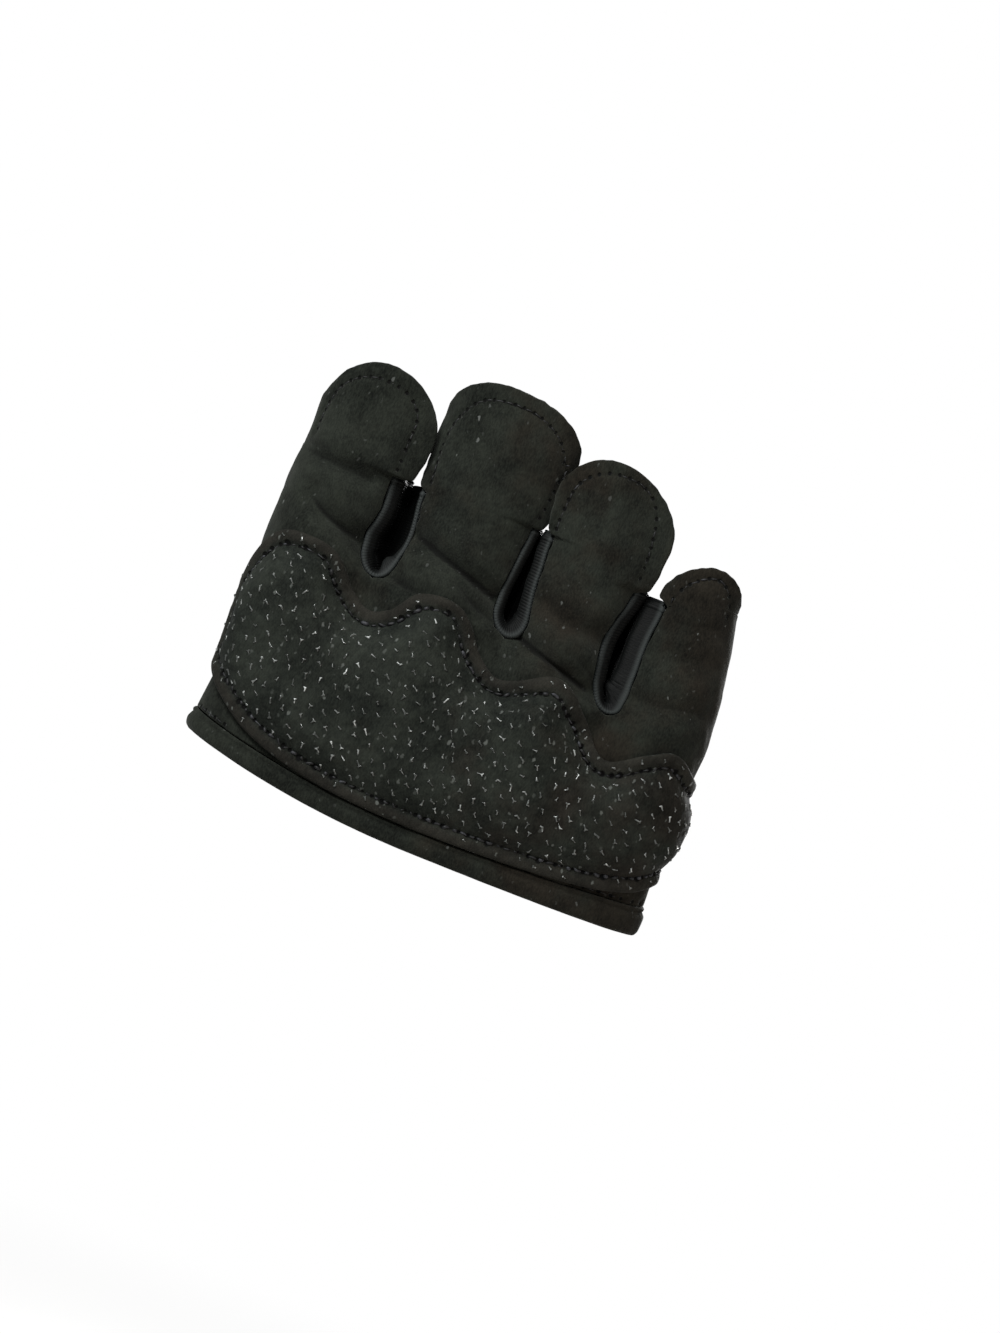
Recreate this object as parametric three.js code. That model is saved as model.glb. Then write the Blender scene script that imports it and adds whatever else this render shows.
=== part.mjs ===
// Short fingerless lifting glove for a left hand, in the shape that it has when it is worn.
// Units are millimetres. +Z runs along the fingers, the palm faces -Y, and +X is the little-finger side.
// The origin is the middle of the wrist opening.

import * as THREE from 'three';

// Driving dimensions

const SUEDE = 1.3;          // wall of the palm panel
const STRETCH = 1.1;        // wall of the back panel
const KNIT = 1.0;           // wall of a finger gusset
const GAP = 0.3;            // clearance between pieces that are sewn together
const PAD_RIM = 1.0;        // thickness of the pad at its stitched rim
const PAD_CROWN = 2.6;      // thickness of the pad where it is full
const PAD_RIM_WIDTH = 2.3;  // from the pad's edge to its stitches
const PAD_SWELL = 5;        // from the stitches to the full thickness
const PAD_START = -79;      // the pad's thumb end, in degrees round the index side from its middle
const HEM_HEIGHT = 3.4;     // height of the folded wrist hem at mid palm
const HEM_WIDEN = 1.4;      // added to it towards the far side
const HEM_ROUND = 0.8;      // length over which the hem's corners are rounded
const HEM_INNER = 1.3;      // hem, measured inwards from the glove's surface
const HEM_OUTER = 0.6;      // hem, measured outwards from the glove's surface
const SEAM_DIP = 3.2;       // how far the palm rolls into a slit
const BACK_DIP = 2.4;       // how far the back rolls in between two fingers
const BACK_SLIT_HALF = 1.7; // half the width of a slit on the back
const PINCH = 0.45;         // half the space between a gusset's walls where the fingers press them
const STRAIGHT = 0.32;      // share of each gusset wall that is straight, above the slit's round bottom
const WEB_RISE = 2;         // how far the web of the hand lifts the middle of a gusset
const BLEND = 22;           // height over which the flat palm divides into four fingers
const ROLL = 6;             // height over which the valley below a slit turns into its rolled edges
const PALM_POWER = 3;       // squareness of the hand's section
const FINGER_POWER = 2.3;   // squareness of a finger's section
const SEAM_TURN = 60;       // place of a side seam, in degrees round an outer finger from its middle
const SEAM_OPEN = 3.5;      // clearance at a side seam, in the same degrees
const DIP_BEND = 0.4;       // how soon a tab's edge sinks above the hem: 1 is steady, less is sooner
const LAYOUT_Z = 4;         // height at which the wrist edge is laid out
const SAME_PLACE = 0.05;    // distance under which two places on the wrist edge are one
const FOLD_DEPTH = 6;       // depth of the palm face over which a fold fades out round the side
const WRIST = { middle: -0.8, thumbRise: 4, thumbAt: 37, farRise: 0.4, farAt: 38 };

// The worn form by height: its thumb side, its far side, and the depth of its palm and back faces
const FORM = [
  { z: -4, left: -40.4, right: 38.6, palm: 12.4, back: 12.2 },
  { z: 4, left: -41.5, right: 39.0, palm: 13.2, back: 12.9 },
  { z: 14, left: -40.9, right: 38.6, palm: 14.2, back: 13.8 },
  { z: 25, left: -41.3, right: 38.7, palm: 14.7, back: 13.4 },
  { z: 34, left: -41.7, right: 39.1, palm: 14.2, back: 12.0 },
  { z: 44, left: -41.8, right: 37.8, palm: 12.6, back: 10.6 },
  { z: 56, left: -41.4, right: 35.4, palm: 11.2, back: 9.6 },
  { z: 66, left: -41.0, right: 33.0, palm: 10.4, back: 9.0 },
  { z: 78, left: -40.6, right: 31.0, palm: 9.6, back: 8.6 },
];

// Slits: the middle line from the round bottom to the hem, half widths, the bottom on the back, and how far
// the fingers push the gusset's walls sideways between palm and back
const SLITS = [
  {
    name: 'gusset_index_middle', bottomX: -22.4, bottomZ: 38.2, hemX: -22.3, hemZ: 54.5,
    half: 3.1, hemHalf: 2.9, round: 4, backZ: 36, sway: 0.9,
  },
  {
    name: 'gusset_middle_ring', bottomX: 0.9, bottomZ: 37.2, hemX: 0.8, hemZ: 55.2,
    half: 3.1, hemHalf: 2.1, round: 4, backZ: 35, sway: -0.3,
  },
  {
    name: 'gusset_ring_little', bottomX: 20.5, bottomZ: 31.8, hemX: 20.7, hemZ: 52.2,
    half: 3.4, hemHalf: 2.7, round: 4.5, backZ: 30, sway: -0.9,
  },
];

// Where the outer sides divide into fingers and where they end at the finger openings
const THUMB_SIDE = { webZ: 40, backZ: 38, hemZ: 54.4 };
const FAR_SIDE = { webZ: 33, backZ: 31, hemZ: 54.6 };

// Finger tabs: depth against the hand's, then each shoulder with its place, its distance behind the
// tab's crown and the bend of the edge below it, then the round cap above the shoulders
const TABS = [
  {
    finger: 'index', depth: 0.98, leftX: -41.0, leftZ: 61, leftDip: 8, leftBend: 0.2,
    rightX: -20.8, rightZ: 61, rightDip: 2.6, rightBend: 0.35, cap: 10.1, capPower: 2.1, lean: 0,
  },
  {
    finger: 'middle', depth: 1.03, leftX: -21.5, leftZ: 67.6, leftDip: 6.3, leftBend: 0.12,
    rightX: 2.3, rightZ: 67.6, rightDip: 4.6, rightBend: 0.2, cap: 7.5, capPower: 2.3, lean: -0.5,
  },
  {
    finger: 'ring', depth: 0.99, leftX: 0.8, leftZ: 61.5, leftDip: 1.2, leftBend: 0.15,
    rightX: 21.2, rightZ: 60.5, rightDip: 2.4, rightBend: 0.1, cap: 9.3, capPower: 2.1, lean: -1.2,
  },
  {
    finger: 'little', depth: 0.86, leftX: 21.9, leftZ: 53.2, leftDip: 3.4, leftBend: 0.25,
    rightX: 35.4, rightZ: 54.8, rightDip: 9, rightBend: 1, cap: 6.4, capPower: 1.9, lean: 0.6,
  },
];

// Outline of the grip pad, seen from the palm; past the far side u runs on round the edge of the hand
const PAD_TOP = [
  { u: -41.6, z: 28.5 },
  { u: -40.9, z: 34.0 },
  { u: -38.6, z: 39.0 },
  { u: -33.5, z: 40.5 },
  { u: -28.0, z: 39.0 },
  { u: -24.2, z: 34.8 },
  { u: -20.5, z: 32.8 },
  { u: -17.0, z: 34.2 },
  { u: -14.0, z: 37.9 },
  { u: -9.3, z: 39.3 },
  { u: -5.0, z: 37.4 },
  { u: -1.5, z: 32.8 },
  { u: 3.2, z: 30.3 },
  { u: 11.6, z: 33.7 },
  { u: 17.3, z: 30.4 },
  { u: 23.5, z: 24.7 },
  { u: 29.7, z: 28.0 },
  { u: 34.0, z: 29.8 },
  { u: 38.3, z: 26.0 },
  { u: 43.0, z: 20.5 },
];
const PAD_BOTTOM = [
  { u: -41.6, z: 17.0 },
  { u: -40.4, z: 14.4 },
  { u: -38.2, z: 11.8 },
  { u: -31.5, z: 7.5 },
  { u: -21.5, z: 4.6 },
  { u: -10.0, z: 3.3 },
  { u: 4.0, z: 3.1 },
  { u: 18.0, z: 3.7 },
  { u: 29.0, z: 4.8 },
  { u: 35.5, z: 6.5 },
  { u: 38.3, z: 9.0 },
  { u: 43.0, z: 14.5 },
];

// Folds that the hand presses into the palm panel, as valleys from one place to another
const FOLDS = [
  { fromX: -42, fromZ: 53.5, toX: -28.3, toZ: 52.7, depth: 0.7, width: 1.6 },
  { fromX: -36, fromZ: 46.5, toX: -26.5, toZ: 43.0, depth: 0.7, width: 1.7 },
  { fromX: -17.5, fromZ: 47.0, toX: -3.5, toZ: 43.0, depth: 0.8, width: 1.8 },
  { fromX: 4.5, fromZ: 36.8, toX: 15.5, toZ: 34.3, depth: 0.7, width: 1.8 },
  { fromX: 6, fromZ: 44.2, toX: 16.5, toZ: 43.2, depth: 0.6, width: 1.8 },
  { fromX: 25, fromZ: 36, toX: 36, toZ: 37.5, depth: 0.6, width: 1.8 },
];

// Mesh steps
const TAB_STEPS = 8;
const PALM_ROWS = 11;
const SLIT_ROWS = 8;
const TAB_ROWS = 6;
const BACK_ROWS = 9;
const BACK_SLIT_ROWS = 6;
const PAD_ROWS = 12;
const GUSSET_STEPS = 18;
const GUSSET_DEPTH_STEPS = 8;

const lerp = THREE.MathUtils.lerp;
const clamp = THREE.MathUtils.clamp;
const rad = THREE.MathUtils.degToRad;

// Value of one column of a table at a place along another, on a smooth curve through the rows
function follow(rows, at, column, key = 'z') {
  const last = rows.length - 1;
  const place = clamp(at, rows[0][key], rows[last][key]);
  let i = 0;
  while (i < last - 1 && place > rows[i + 1][key]) i += 1;
  const span = rows[i + 1][key] - rows[i][key];
  const t = (place - rows[i][key]) / span;
  const slope = (a, b) => (rows[b][column] - rows[a][column]) / (rows[b][key] - rows[a][key]);
  const before = slope(Math.max(i - 1, 0), i + 1) * span;
  const after = slope(i, Math.min(i + 2, last)) * span;
  const rise = rows[i + 1][column] - rows[i][column];
  const bend = 3 * rise - 2 * before - after + t * (before + after - 2 * rise);
  return rows[i][column] + t * (before + t * bend);
}

// Rounded profile: 1 in the middle, 0 at plus and minus 1, squarer with a higher power
const round = (f, power) => Math.pow(Math.max(0, 1 - Math.pow(Math.abs(f), power)), 1 / power);

// Lower edge of the glove: it rises to the thumb side on the palm, and runs straight across the back
function wristZ(x, face) {
  const [rise, at] = x < 0 ? [WRIST.thumbRise, WRIST.thumbAt] : [WRIST.farRise, WRIST.farAt];
  if (face === 'palm') return WRIST.middle + rise * (x / at) ** 2;
  const { left, right } = FORM[1];
  return THREE.MathUtils.mapLinear(x, left, right, wristZ(left, 'palm'), wristZ(right, 'palm'));
}

// Height of the wrist hem, which widens towards the far side
const hemHeight = (x) => HEM_HEIGHT + HEM_WIDEN * Math.max(0, x / FORM[1].right) ** 1.2;

// Boundary between two fingers, or an outer side, as seen by the finger whose edge it is
function boundary(i, side) {
  const k = side < 0 ? i - 1 : i;
  if (k < 0) return { outer: true, ...THUMB_SIDE, column: 'left' };
  if (k === SLITS.length) return { outer: true, ...FAR_SIDE, column: 'right' };
  return { outer: false, ...SLITS[k], webZ: SLITS[k].bottomZ };
}

// Middle line of a slit
function slitMiddle({ bottomX, bottomZ, hemX, hemZ }, z) {
  return THREE.MathUtils.mapLinear(z, bottomZ, hemZ, bottomX, hemX);
}

// Half the width of a slit: a round bottom, then a slight taper up to the hem
function slitHalf(slit, z, face) {
  const foot = face === 'palm' ? slit.bottomZ : slit.backZ;
  const opening = clamp((z - foot) / slit.round, 0, 1);
  const taper = clamp((z - foot) / (slit.hemZ - foot), 0, 1);
  const full = face === 'palm' ? lerp(slit.half, slit.hemHalf, taper) : BACK_SLIT_HALF;
  return full * Math.sqrt(1 - (1 - opening) ** 2);
}

// Sideways place of one edge of a finger's strip, which above the hem swings out to the tab's shoulder
function edgeX(i, side, z, face) {
  const bound = boundary(i, side);
  const atHeight = (h) => (bound.outer
    ? follow(FORM, h, bound.column)
    : slitMiddle(bound, h) - side * slitHalf(bound, h, face));
  if (face === 'back' || z <= bound.hemZ) return atHeight(z);
  const tab = TABS[i];
  const [x, top, bend] = side < 0
    ? [tab.leftX, tab.leftZ, tab.leftBend]
    : [tab.rightX, tab.rightZ, tab.rightBend];
  const swing = Math.pow(clamp((z - bound.hemZ) / (top - bound.hemZ), 0, 1), bend);
  return lerp(atHeight(bound.hemZ), x, swing);
}

// Depth of one edge of a finger's strip
function edgeDepth(i, side, z, face) {
  const bound = boundary(i, side);
  const depth = follow(FORM, z, face);
  const next = TABS[i + side];
  const dipped = face === 'palm' ? SEAM_DIP : BACK_DIP;
  const shared = bound.outer ? 0 : depth * (TABS[i].depth + next.depth) / 2 - dipped;
  if (face === 'back' || z <= bound.hemZ) return shared;
  const tab = TABS[i];
  const [top, dip] = side < 0 ? [tab.leftZ, tab.leftDip] : [tab.rightZ, tab.rightDip];
  const swing = clamp((z - bound.hemZ) / (top - bound.hemZ), 0, 1);
  return lerp(shared, depth * tab.depth - dip, Math.pow(swing, DIP_BEND));
}

// Height of the web of the hand at a place f across a finger, where the fingers divide
function webAt(i, f, face) {
  const foot = face === 'palm' ? 'webZ' : 'backZ';
  return lerp(boundary(i, -1)[foot], boundary(i, 1)[foot], (f + 1) / 2);
}

// Roundness of a finger's strip from its crown, 1, to its edge, 0: over an outer side it is the finger's
// own section, and towards a slit it is a soft valley that turns into a rolled edge above the web
function bowOf(i, f, z, face) {
  if (boundary(i, Math.sign(f) || 1).outer) return round(f, FINGER_POWER);
  const web = webAt(i, f, face);
  const valley = 0.5 + 0.5 * Math.cos(Math.PI * f);
  return lerp(valley, 1 - f * f, THREE.MathUtils.smoothstep(z, web - ROLL, web + ROLL));
}

// Depth that the folds take off the palm face at a place
function foldDepth(x, z) {
  let taken = 0;
  for (const fold of FOLDS) {
    const run = new THREE.Vector2(fold.toX - fold.fromX, fold.toZ - fold.fromZ);
    const from = new THREE.Vector2(x - fold.fromX, z - fold.fromZ);
    const along = clamp(from.dot(run) / run.lengthSq(), 0, 1);
    const away = from.sub(run.multiplyScalar(along)).length() / fold.width;
    taken += fold.depth * Math.exp(-away * away);
  }
  return taken;
}

// Point on the glove's surface: a face, a finger, a place f from -1 to 1 across it, and a height
function skin(face, i, f, z) {
  const tab = TABS[i];
  const depth = follow(FORM, z, face);
  const left = edgeX(i, -1, z, face);
  const right = edgeX(i, 1, z, face);
  const top = (tab.leftZ + tab.rightZ) / 2;
  const lean = tab.lean * clamp((z - top) / tab.cap, 0, 1);
  const x = lerp(left, right, (f + 1) / 2) + lean;
  const middle = (follow(FORM, z, 'left') + follow(FORM, z, 'right')) / 2;
  const reach = (follow(FORM, z, 'right') - follow(FORM, z, 'left')) / 2;
  const side = f < 0 ? -1 : 1;
  const edge = edgeDepth(i, side, z, face);
  const finger = edge + (depth * tab.depth - edge) * bowOf(i, f, z, face);
  const palm = depth * round((x - middle) / reach, PALM_POWER);
  const web = webAt(i, f, face);
  const away = lerp(palm, finger, THREE.MathUtils.smoothstep(z, web - BLEND, web));
  if (face === 'back') return new THREE.Vector3(x, away, z);
  return new THREE.Vector3(x, foldDepth(x, z) * Math.min(1, away / FOLD_DEPTH) - away, z);
}

// Place across a finger for a step, closer together at its edges
const across = (degrees) => Math.sin(rad(degrees));

// Closed solid from a surface of quads: its points are pushed out and in along their normals
function wall(points, quads, outward, inward) {
  const normals = points.map(() => new THREE.Vector3());
  for (const [a, b, c, d] of quads) {
    const n = points[c].clone().sub(points[a]).cross(points[d].clone().sub(points[b]));
    for (const v of [a, b, c, d]) normals[v].add(n);
  }
  normals.forEach((n) => n.normalize());
  const outer = points.map((p, v) => p.clone().addScaledVector(normals[v], outward(v)));
  const inner = points.map((p, v) => p.clone().addScaledVector(normals[v], -inward(v)));
  const count = points.length;
  const index = [];
  const edges = new Map();
  for (const quad of quads) {
    const [a, b, c, d] = quad;
    index.push(a, b, c, a, c, d);
    index.push(count + c, count + b, count + a, count + d, count + c, count + a);
    quad.forEach((from, corner) => {
      const to = quad[(corner + 1) % 4];
      if (edges.has(`${to},${from}`)) edges.delete(`${to},${from}`);
      else edges.set(`${from},${to}`, [from, to]);
    });
  }
  for (const [from, to] of edges.values()) {
    index.push(to, from, count + from, to, count + from, count + to);
  }
  return meshGeometry([...outer, ...inner], index);
}

function meshGeometry(points, index) {
  const geometry = new THREE.BufferGeometry().setFromPoints(points);
  geometry.setIndex(index);
  return geometry;
}

// Grid of quads over columns and rows of point numbers
function gridQuads(columns) {
  const quads = [];
  for (let c = 0; c + 1 < columns.length; c += 1) {
    for (let r = 0; r + 1 < columns[c].length; r += 1) {
      quads.push([columns[c][r], columns[c + 1][r], columns[c + 1][r + 1], columns[c][r + 1]]);
    }
  }
  return quads;
}

// Points of a surface, where a place that is asked for twice is given the same number
function pointStore() {
  const points = [];
  const numbers = new Map();
  const add = (point) => {
    const key = point.toArray().map((v) => Math.round(v * 1000)).join(' ');
    if (!numbers.has(key)) {
      numbers.set(key, points.length);
      points.push(point);
    }
    return numbers.get(key);
  };
  return { points, add };
}

// Shares of the way from a slit's foot to its hem, close together where the slit's bottom is round
const slitRows = (rows) => evenly(rows).map((t) => lerp(1 - Math.cos(t * Math.PI / 2), t, 0.45));

// Columns of a face: each finger's steps from one side seam to the other, round the outer sides
function faceColumns(face) {
  const columns = [];
  TABS.forEach((tab, i) => {
    const start = face === 'back' && i === 0 ? -SEAM_TURN + SEAM_OPEN : -90;
    const end = face === 'back' && i === TABS.length - 1 ? SEAM_TURN - SEAM_OPEN : 90;
    for (let s = 0; s <= TAB_STEPS; s += 1) columns.push({ face, i, turn: lerp(start, end, s / TAB_STEPS) });
  });
  if (face === 'back') return columns;
  const wraps = [SEAM_TURN, (SEAM_TURN + 90) / 2];
  const before = wraps.map((turn) => ({ face: 'back', i: 0, turn: -turn, wrap: true }));
  const after = wraps.map((turn) => ({ face: 'back', i: TABS.length - 1, turn, wrap: true })).reverse();
  return [...before, ...columns, ...after];
}

// Heights at which a column leaves the hem, meets the web and reaches the finger opening
function columnHeights(column, face) {
  const f = across(column.turn);
  const share = column.wrap ? Math.sign(f) : f;
  const web = webAt(column.i, share, face);
  const hem = lerp(boundary(column.i, -1).hemZ, boundary(column.i, 1).hemZ, (share + 1) / 2);
  const { x } = skin(column.face, column.i, f, LAYOUT_Z);
  return { f, start: wristZ(x, column.face) + hemHeight(x) + GAP, web, hem };
}

// Numbers of the points up a column between two heights, at given shares of the way
function climb(store, column, f, from, to, shares) {
  return shares.map((share) => store.add(skin(column.face, column.i, f, lerp(from, to, share))));
}

const evenly = (steps) => Array.from({ length: steps + 1 }, (_, s) => s / steps);

// Height of a tab's edge above a place across it: the line of its shoulders with a round cap on it
function tabTop(tab, f) {
  return lerp(tab.leftZ, tab.rightZ, (f + 1) / 2) + tab.cap * round(f, tab.capPower);
}

// Palm or back: one sheet from hem to webs, strips between the slits, and on the palm the tabs
function panel(face, thickness, rows, slitRowCount) {
  const store = pointStore();
  const quads = [];
  const columns = faceColumns(face).map((column) => ({ ...column, ...columnHeights(column, face) }));
  const lower = columns.map((c) => climb(store, c, c.f, c.start, c.web, evenly(rows)));
  quads.push(...gridQuads(lower));
  TABS.forEach((tab, i) => {
    const own = columns.filter((column) => column.i === i);
    const strips = own.map((c) => climb(store, c, c.f, c.web, c.hem, slitRows(slitRowCount)));
    quads.push(...gridQuads(strips));
    if (face === 'back') return;
    const front = own.filter((c) => !c.wrap);
    const tabs = front.map((c) => climb(store, c, c.f, c.hem, tabTop(tab, c.f), evenly(TAB_ROWS)));
    quads.push(...gridQuads(tabs));
  });
  const whole = quads.filter((quad) => new Set(quad).size === 4);
  const facing = face === 'palm' ? whole : whole.map((quad) => [...quad].reverse());
  return wall(store.points, facing, () => 0, () => thickness);
}

// Stops across some fingers of one face, in the order in which the wrist edge passes them
function wristStops(face, fingers, from, to) {
  return fingers.flatMap((i) => evenly(TAB_STEPS).map((s) => ({ face, i, f: across(lerp(from, to, s)) })));
}

// Folded strip round the wrist edge: a rounded section carried round the hand's section
function wristHem() {
  const path = [...wristStops('palm', [0, 1, 2, 3], -90, 90), ...wristStops('back', [3, 2, 1, 0], 90, -90)];
  const at = (stop, z) => skin(stop.face, stop.i, stop.f, z);
  const level = (stop) => at(stop, LAYOUT_Z);
  const apart = (stop, s) => level(stop).distanceTo(level(path[(s + 1) % path.length]));
  const stops = path.filter((stop, s) => apart(stop, s) > SAME_PLACE);
  const half = HEM_ROUND / 2;
  const section = (height) => [
    [HEM_OUTER - half, height], [HEM_OUTER, height - HEM_ROUND],
    [HEM_OUTER, HEM_ROUND], [HEM_OUTER - half, 0],
    [half - HEM_INNER, 0], [-HEM_INNER, HEM_ROUND],
    [-HEM_INNER, height - HEM_ROUND], [half - HEM_INNER, height],
  ];
  const rings = stops.map((stop, s) => {
    const before = stops[(s + stops.length - 1) % stops.length];
    const after = stops[(s + 1) % stops.length];
    const along = level(after).sub(level(before));
    const out = new THREE.Vector3(along.y, -along.x, 0).normalize();
    const { x } = level(stop);
    const base = wristZ(x, stop.face);
    return section(hemHeight(x)).map(([away, h]) => at(stop, base + h).addScaledVector(out, away));
  });
  const index = [];
  const sides = rings[0].length;
  rings.forEach((ring, s) => {
    const next = ((s + 1) % rings.length) * sides;
    for (let k = 0; k < sides; k += 1) {
      const l = (k + 1) % sides;
      index.push(s * sides + k, s * sides + l, next + l, s * sides + k, next + l, next + k);
    }
  });
  return meshGeometry(rings.flat(), index);
}

// Thickness of the pad by its distance from the edge: a thin rim, then a swell up to the crown
function padThickness(away) {
  const swell = THREE.MathUtils.smoothstep(away, PAD_RIM_WIDTH * 0.8, PAD_RIM_WIDTH + PAD_SWELL);
  return lerp(PAD_RIM, PAD_CROWN, swell);
}

// Height at which a column of the palm crosses one of the pad's outlines
function outlineZ(outline, column, f) {
  let z = outline[Math.floor(outline.length / 2)].z;
  for (let pass = 0; pass < 3; pass += 1) {
    const p = skin(column.face, column.i, f, z);
    const u = column.wrap ? follow(FORM, z, 'right') + p.y : p.x;
    z = follow(outline, u, 'z', 'u');
  }
  return z;
}

// Grip pad: a patch that lies on the palm panel inside its wavy outline, and turns the far side's edge
function gripPad() {
  const store = pointStore();
  const isPad = (column) => (column.wrap ? column.turn > SEAM_TURN : column.i === 0 || column.turn > -90);
  const columns = faceColumns('palm').filter(isPad).map((column) => {
    const f = across(column.i === 0 ? Math.max(column.turn, PAD_START) : column.turn);
    const bottom = outlineZ(PAD_BOTTOM, column, f);
    return climb(store, column, f, bottom, outlineZ(PAD_TOP, column, f), evenly(PAD_ROWS));
  });
  const rim = [columns[0], columns[columns.length - 1], columns.flatMap((c) => [c[0], c[PAD_ROWS]])].flat();
  const away = store.points.map((p) => Math.min(...rim.map((r) => p.distanceTo(store.points[r]))));
  return wall(store.points, gridQuads(columns), (v) => GAP + padThickness(away[v]), () => -GAP);
}

// Finger gusset: a strip that lines a slit from the palm to the back, down one wall and up the other
function gusset(slit, k) {
  const seat = (face, z) => {
    const thickness = face === 'palm' ? SUEDE : STRETCH;
    return edgeDepth(k, 1, z, face) - thickness - GAP;
  };
  const pointAt = (a, d) => {
    const reach = Math.abs(a);
    const beta = clamp(reach / (1 - STRAIGHT), 0, 1) * Math.PI / 2;
    const foot = lerp(slit.bottomZ, slit.backZ, d) + WEB_RISE * Math.sin(Math.PI * d);
    const curve = slit.round * (1 - Math.cos(beta));
    const z = reach < 1 - STRAIGHT
      ? foot + curve
      : lerp(foot + slit.round, slit.hemZ, (reach - 1 + STRAIGHT) / STRAIGHT);
    const taper = clamp((z - slit.bottomZ) / (slit.hemZ - slit.bottomZ), 0, 1);
    const open = d < 0.5 ? lerp(slit.half, slit.hemHalf, taper) : BACK_SLIT_HALF;
    const half = PINCH + (open - PINCH) * (1 - 2 * d) ** 2;
    const pushed = slit.sway * Math.sin(2 * Math.PI * d);
    const x = slitMiddle(slit, z) + pushed + Math.sign(a) * Math.sin(beta) * half;
    return new THREE.Vector3(x, lerp(-seat('palm', z), seat('back', z), d), z);
  };
  const store = pointStore();
  const columns = evenly(GUSSET_STEPS).map((s) => {
    const even = lerp(-1, 1, s);
    return evenly(GUSSET_DEPTH_STEPS).map((d) => store.add(pointAt(even, d)));
  });
  return wall(store.points, gridQuads(columns), () => 0, () => KNIT);
}

// Materials, one for each kind of cloth
const suede = () => new THREE.MeshStandardMaterial({ color: 0x232623, roughness: 0.95, metalness: 0 });
const gripCloth = () => new THREE.MeshStandardMaterial({ color: 0x1e211f, roughness: 0.7, metalness: 0 });
const stretchCloth = () => new THREE.MeshStandardMaterial({ color: 0x1b1d1c, roughness: 0.85, metalness: 0 });
const ribKnit = () => new THREE.MeshStandardMaterial({ color: 0x161817, roughness: 0.55, metalness: 0 });

const glove = new THREE.Group();

function addPiece(name, geometry, material) {
  const mesh = new THREE.Mesh(geometry, material);
  mesh.name = name;
  glove.add(mesh);
}

addPiece('palm_panel', panel('palm', SUEDE, PALM_ROWS, SLIT_ROWS), suede());
addPiece('back_panel', panel('back', STRETCH, BACK_ROWS, BACK_SLIT_ROWS), stretchCloth());
addPiece('grip_pad', gripPad(), gripCloth());
addPiece('wrist_hem', wristHem(), suede());
SLITS.forEach((slit, k) => addPiece(slit.name, gusset(slit, k), ribKnit()));

export default glove;
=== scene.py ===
# %% [markdown]
# # A short fingerless lifting glove
#
# The real glove is a brushed micro-suede palm with four round finger tabs, a plain stretch back, a ribbed
# gusset between each two tabs, a padded patch printed with small silicone grips, and a folded hem round the
# wrist opening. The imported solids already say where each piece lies. This file makes the cloth itself:
# walls with rounded cut edges, folds, a swollen pad, ribs, threads and grips, and then their finishes.

# %% Load the fixed frame
import math

import bpy
import numpy as np
from mathutils import Matrix, Vector


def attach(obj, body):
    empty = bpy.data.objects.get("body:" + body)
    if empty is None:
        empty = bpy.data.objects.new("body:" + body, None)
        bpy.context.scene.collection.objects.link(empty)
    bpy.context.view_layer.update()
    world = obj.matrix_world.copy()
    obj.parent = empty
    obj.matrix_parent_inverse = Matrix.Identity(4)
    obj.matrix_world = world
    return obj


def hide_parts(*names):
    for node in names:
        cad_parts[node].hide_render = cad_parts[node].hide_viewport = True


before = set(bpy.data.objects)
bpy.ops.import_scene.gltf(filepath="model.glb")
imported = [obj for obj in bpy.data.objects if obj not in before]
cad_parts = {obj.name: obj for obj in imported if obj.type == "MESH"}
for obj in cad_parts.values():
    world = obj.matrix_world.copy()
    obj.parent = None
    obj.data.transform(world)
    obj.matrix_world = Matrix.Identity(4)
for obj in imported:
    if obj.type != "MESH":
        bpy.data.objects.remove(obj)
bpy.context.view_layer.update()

print("nodes:", sorted(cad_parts))

# %% [markdown]
# ## The worn form as short tables
#
# A worn glove has no flat face and no true circle. It could be sculpted, but then nothing would keep it on
# its solids. So it is a function: a few level sections of the worn form, the slits between the strips that
# end in the tabs, and the tabs above them, each a row of millimetres, with smooth curves through the rows.

# %% Measures of the cloth, in millimetres
MM = 0.001
SUEDE = 1.3            # wall of the palm panel
STRETCH = 1.1          # wall of the back panel
KNIT = 0.32            # wall of a gusset's strip
SUEDE_ROUND = 0.42     # how far from a cut edge its wall begins to close in, for each of the three cloths
STRETCH_ROUND = 0.35
KNIT_ROUND = 0.14
SEAM_GAP = 0.1         # open line where two pieces are sewn edge to edge
SEAM_DIP = 3.2         # how far the palm rolls into a slit
BACK_DIP = 2.4         # how far the back rolls in between two strips
BACK_SLIT_HALF = 1.7   # half the width of a slit at the back
BLEND = 22             # height over which the flat palm divides into four strips
ROLL = 6               # height over which the valley below a slit turns into its rolled edges
PALM_POWER = 3         # squareness of the whole section
STRIP_POWER = 2.3      # squareness of an outer strip's section
SEAM_TURN = 60         # side seam, in degrees round an outer strip from its middle
WRIST_LOW = -0.8       # height of the wrist edge at mid palm
HEM_LEVEL = 4.0        # height at which the wrist edge is laid out
HEM_HEIGHT = 3.4       # height of the wrist hem at mid palm
HEM_WIDEN = 1.4        # added to it towards the far side
DIP_BEND = 0.4         # how soon a tab's edge sinks above the finger opening


def table(columns, *rows):
    """A short table as one array for each named column."""
    return {name: np.array(values, float) for name, values in zip(columns.split(), zip(*rows))}


# %% The worn form's sections, the slits and the tabs

# Each section: its height, its two sides, and its depth to the palm and to the back
FORM = table(
    "z left right palm back",
    (-4, -40.4, 38.6, 12.4, 12.2),
    (4, -41.5, 39.0, 13.2, 12.9),
    (14, -40.9, 38.6, 14.2, 13.8),
    (25, -41.3, 38.7, 14.7, 13.4),
    (34, -41.7, 39.1, 14.2, 12.0),
    (44, -41.8, 37.8, 12.6, 10.6),
    (56, -41.4, 35.4, 11.2, 9.6),
    (66, -41.0, 33.0, 10.4, 9.0),
    (78, -40.6, 31.0, 9.6, 8.6),
)
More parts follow.
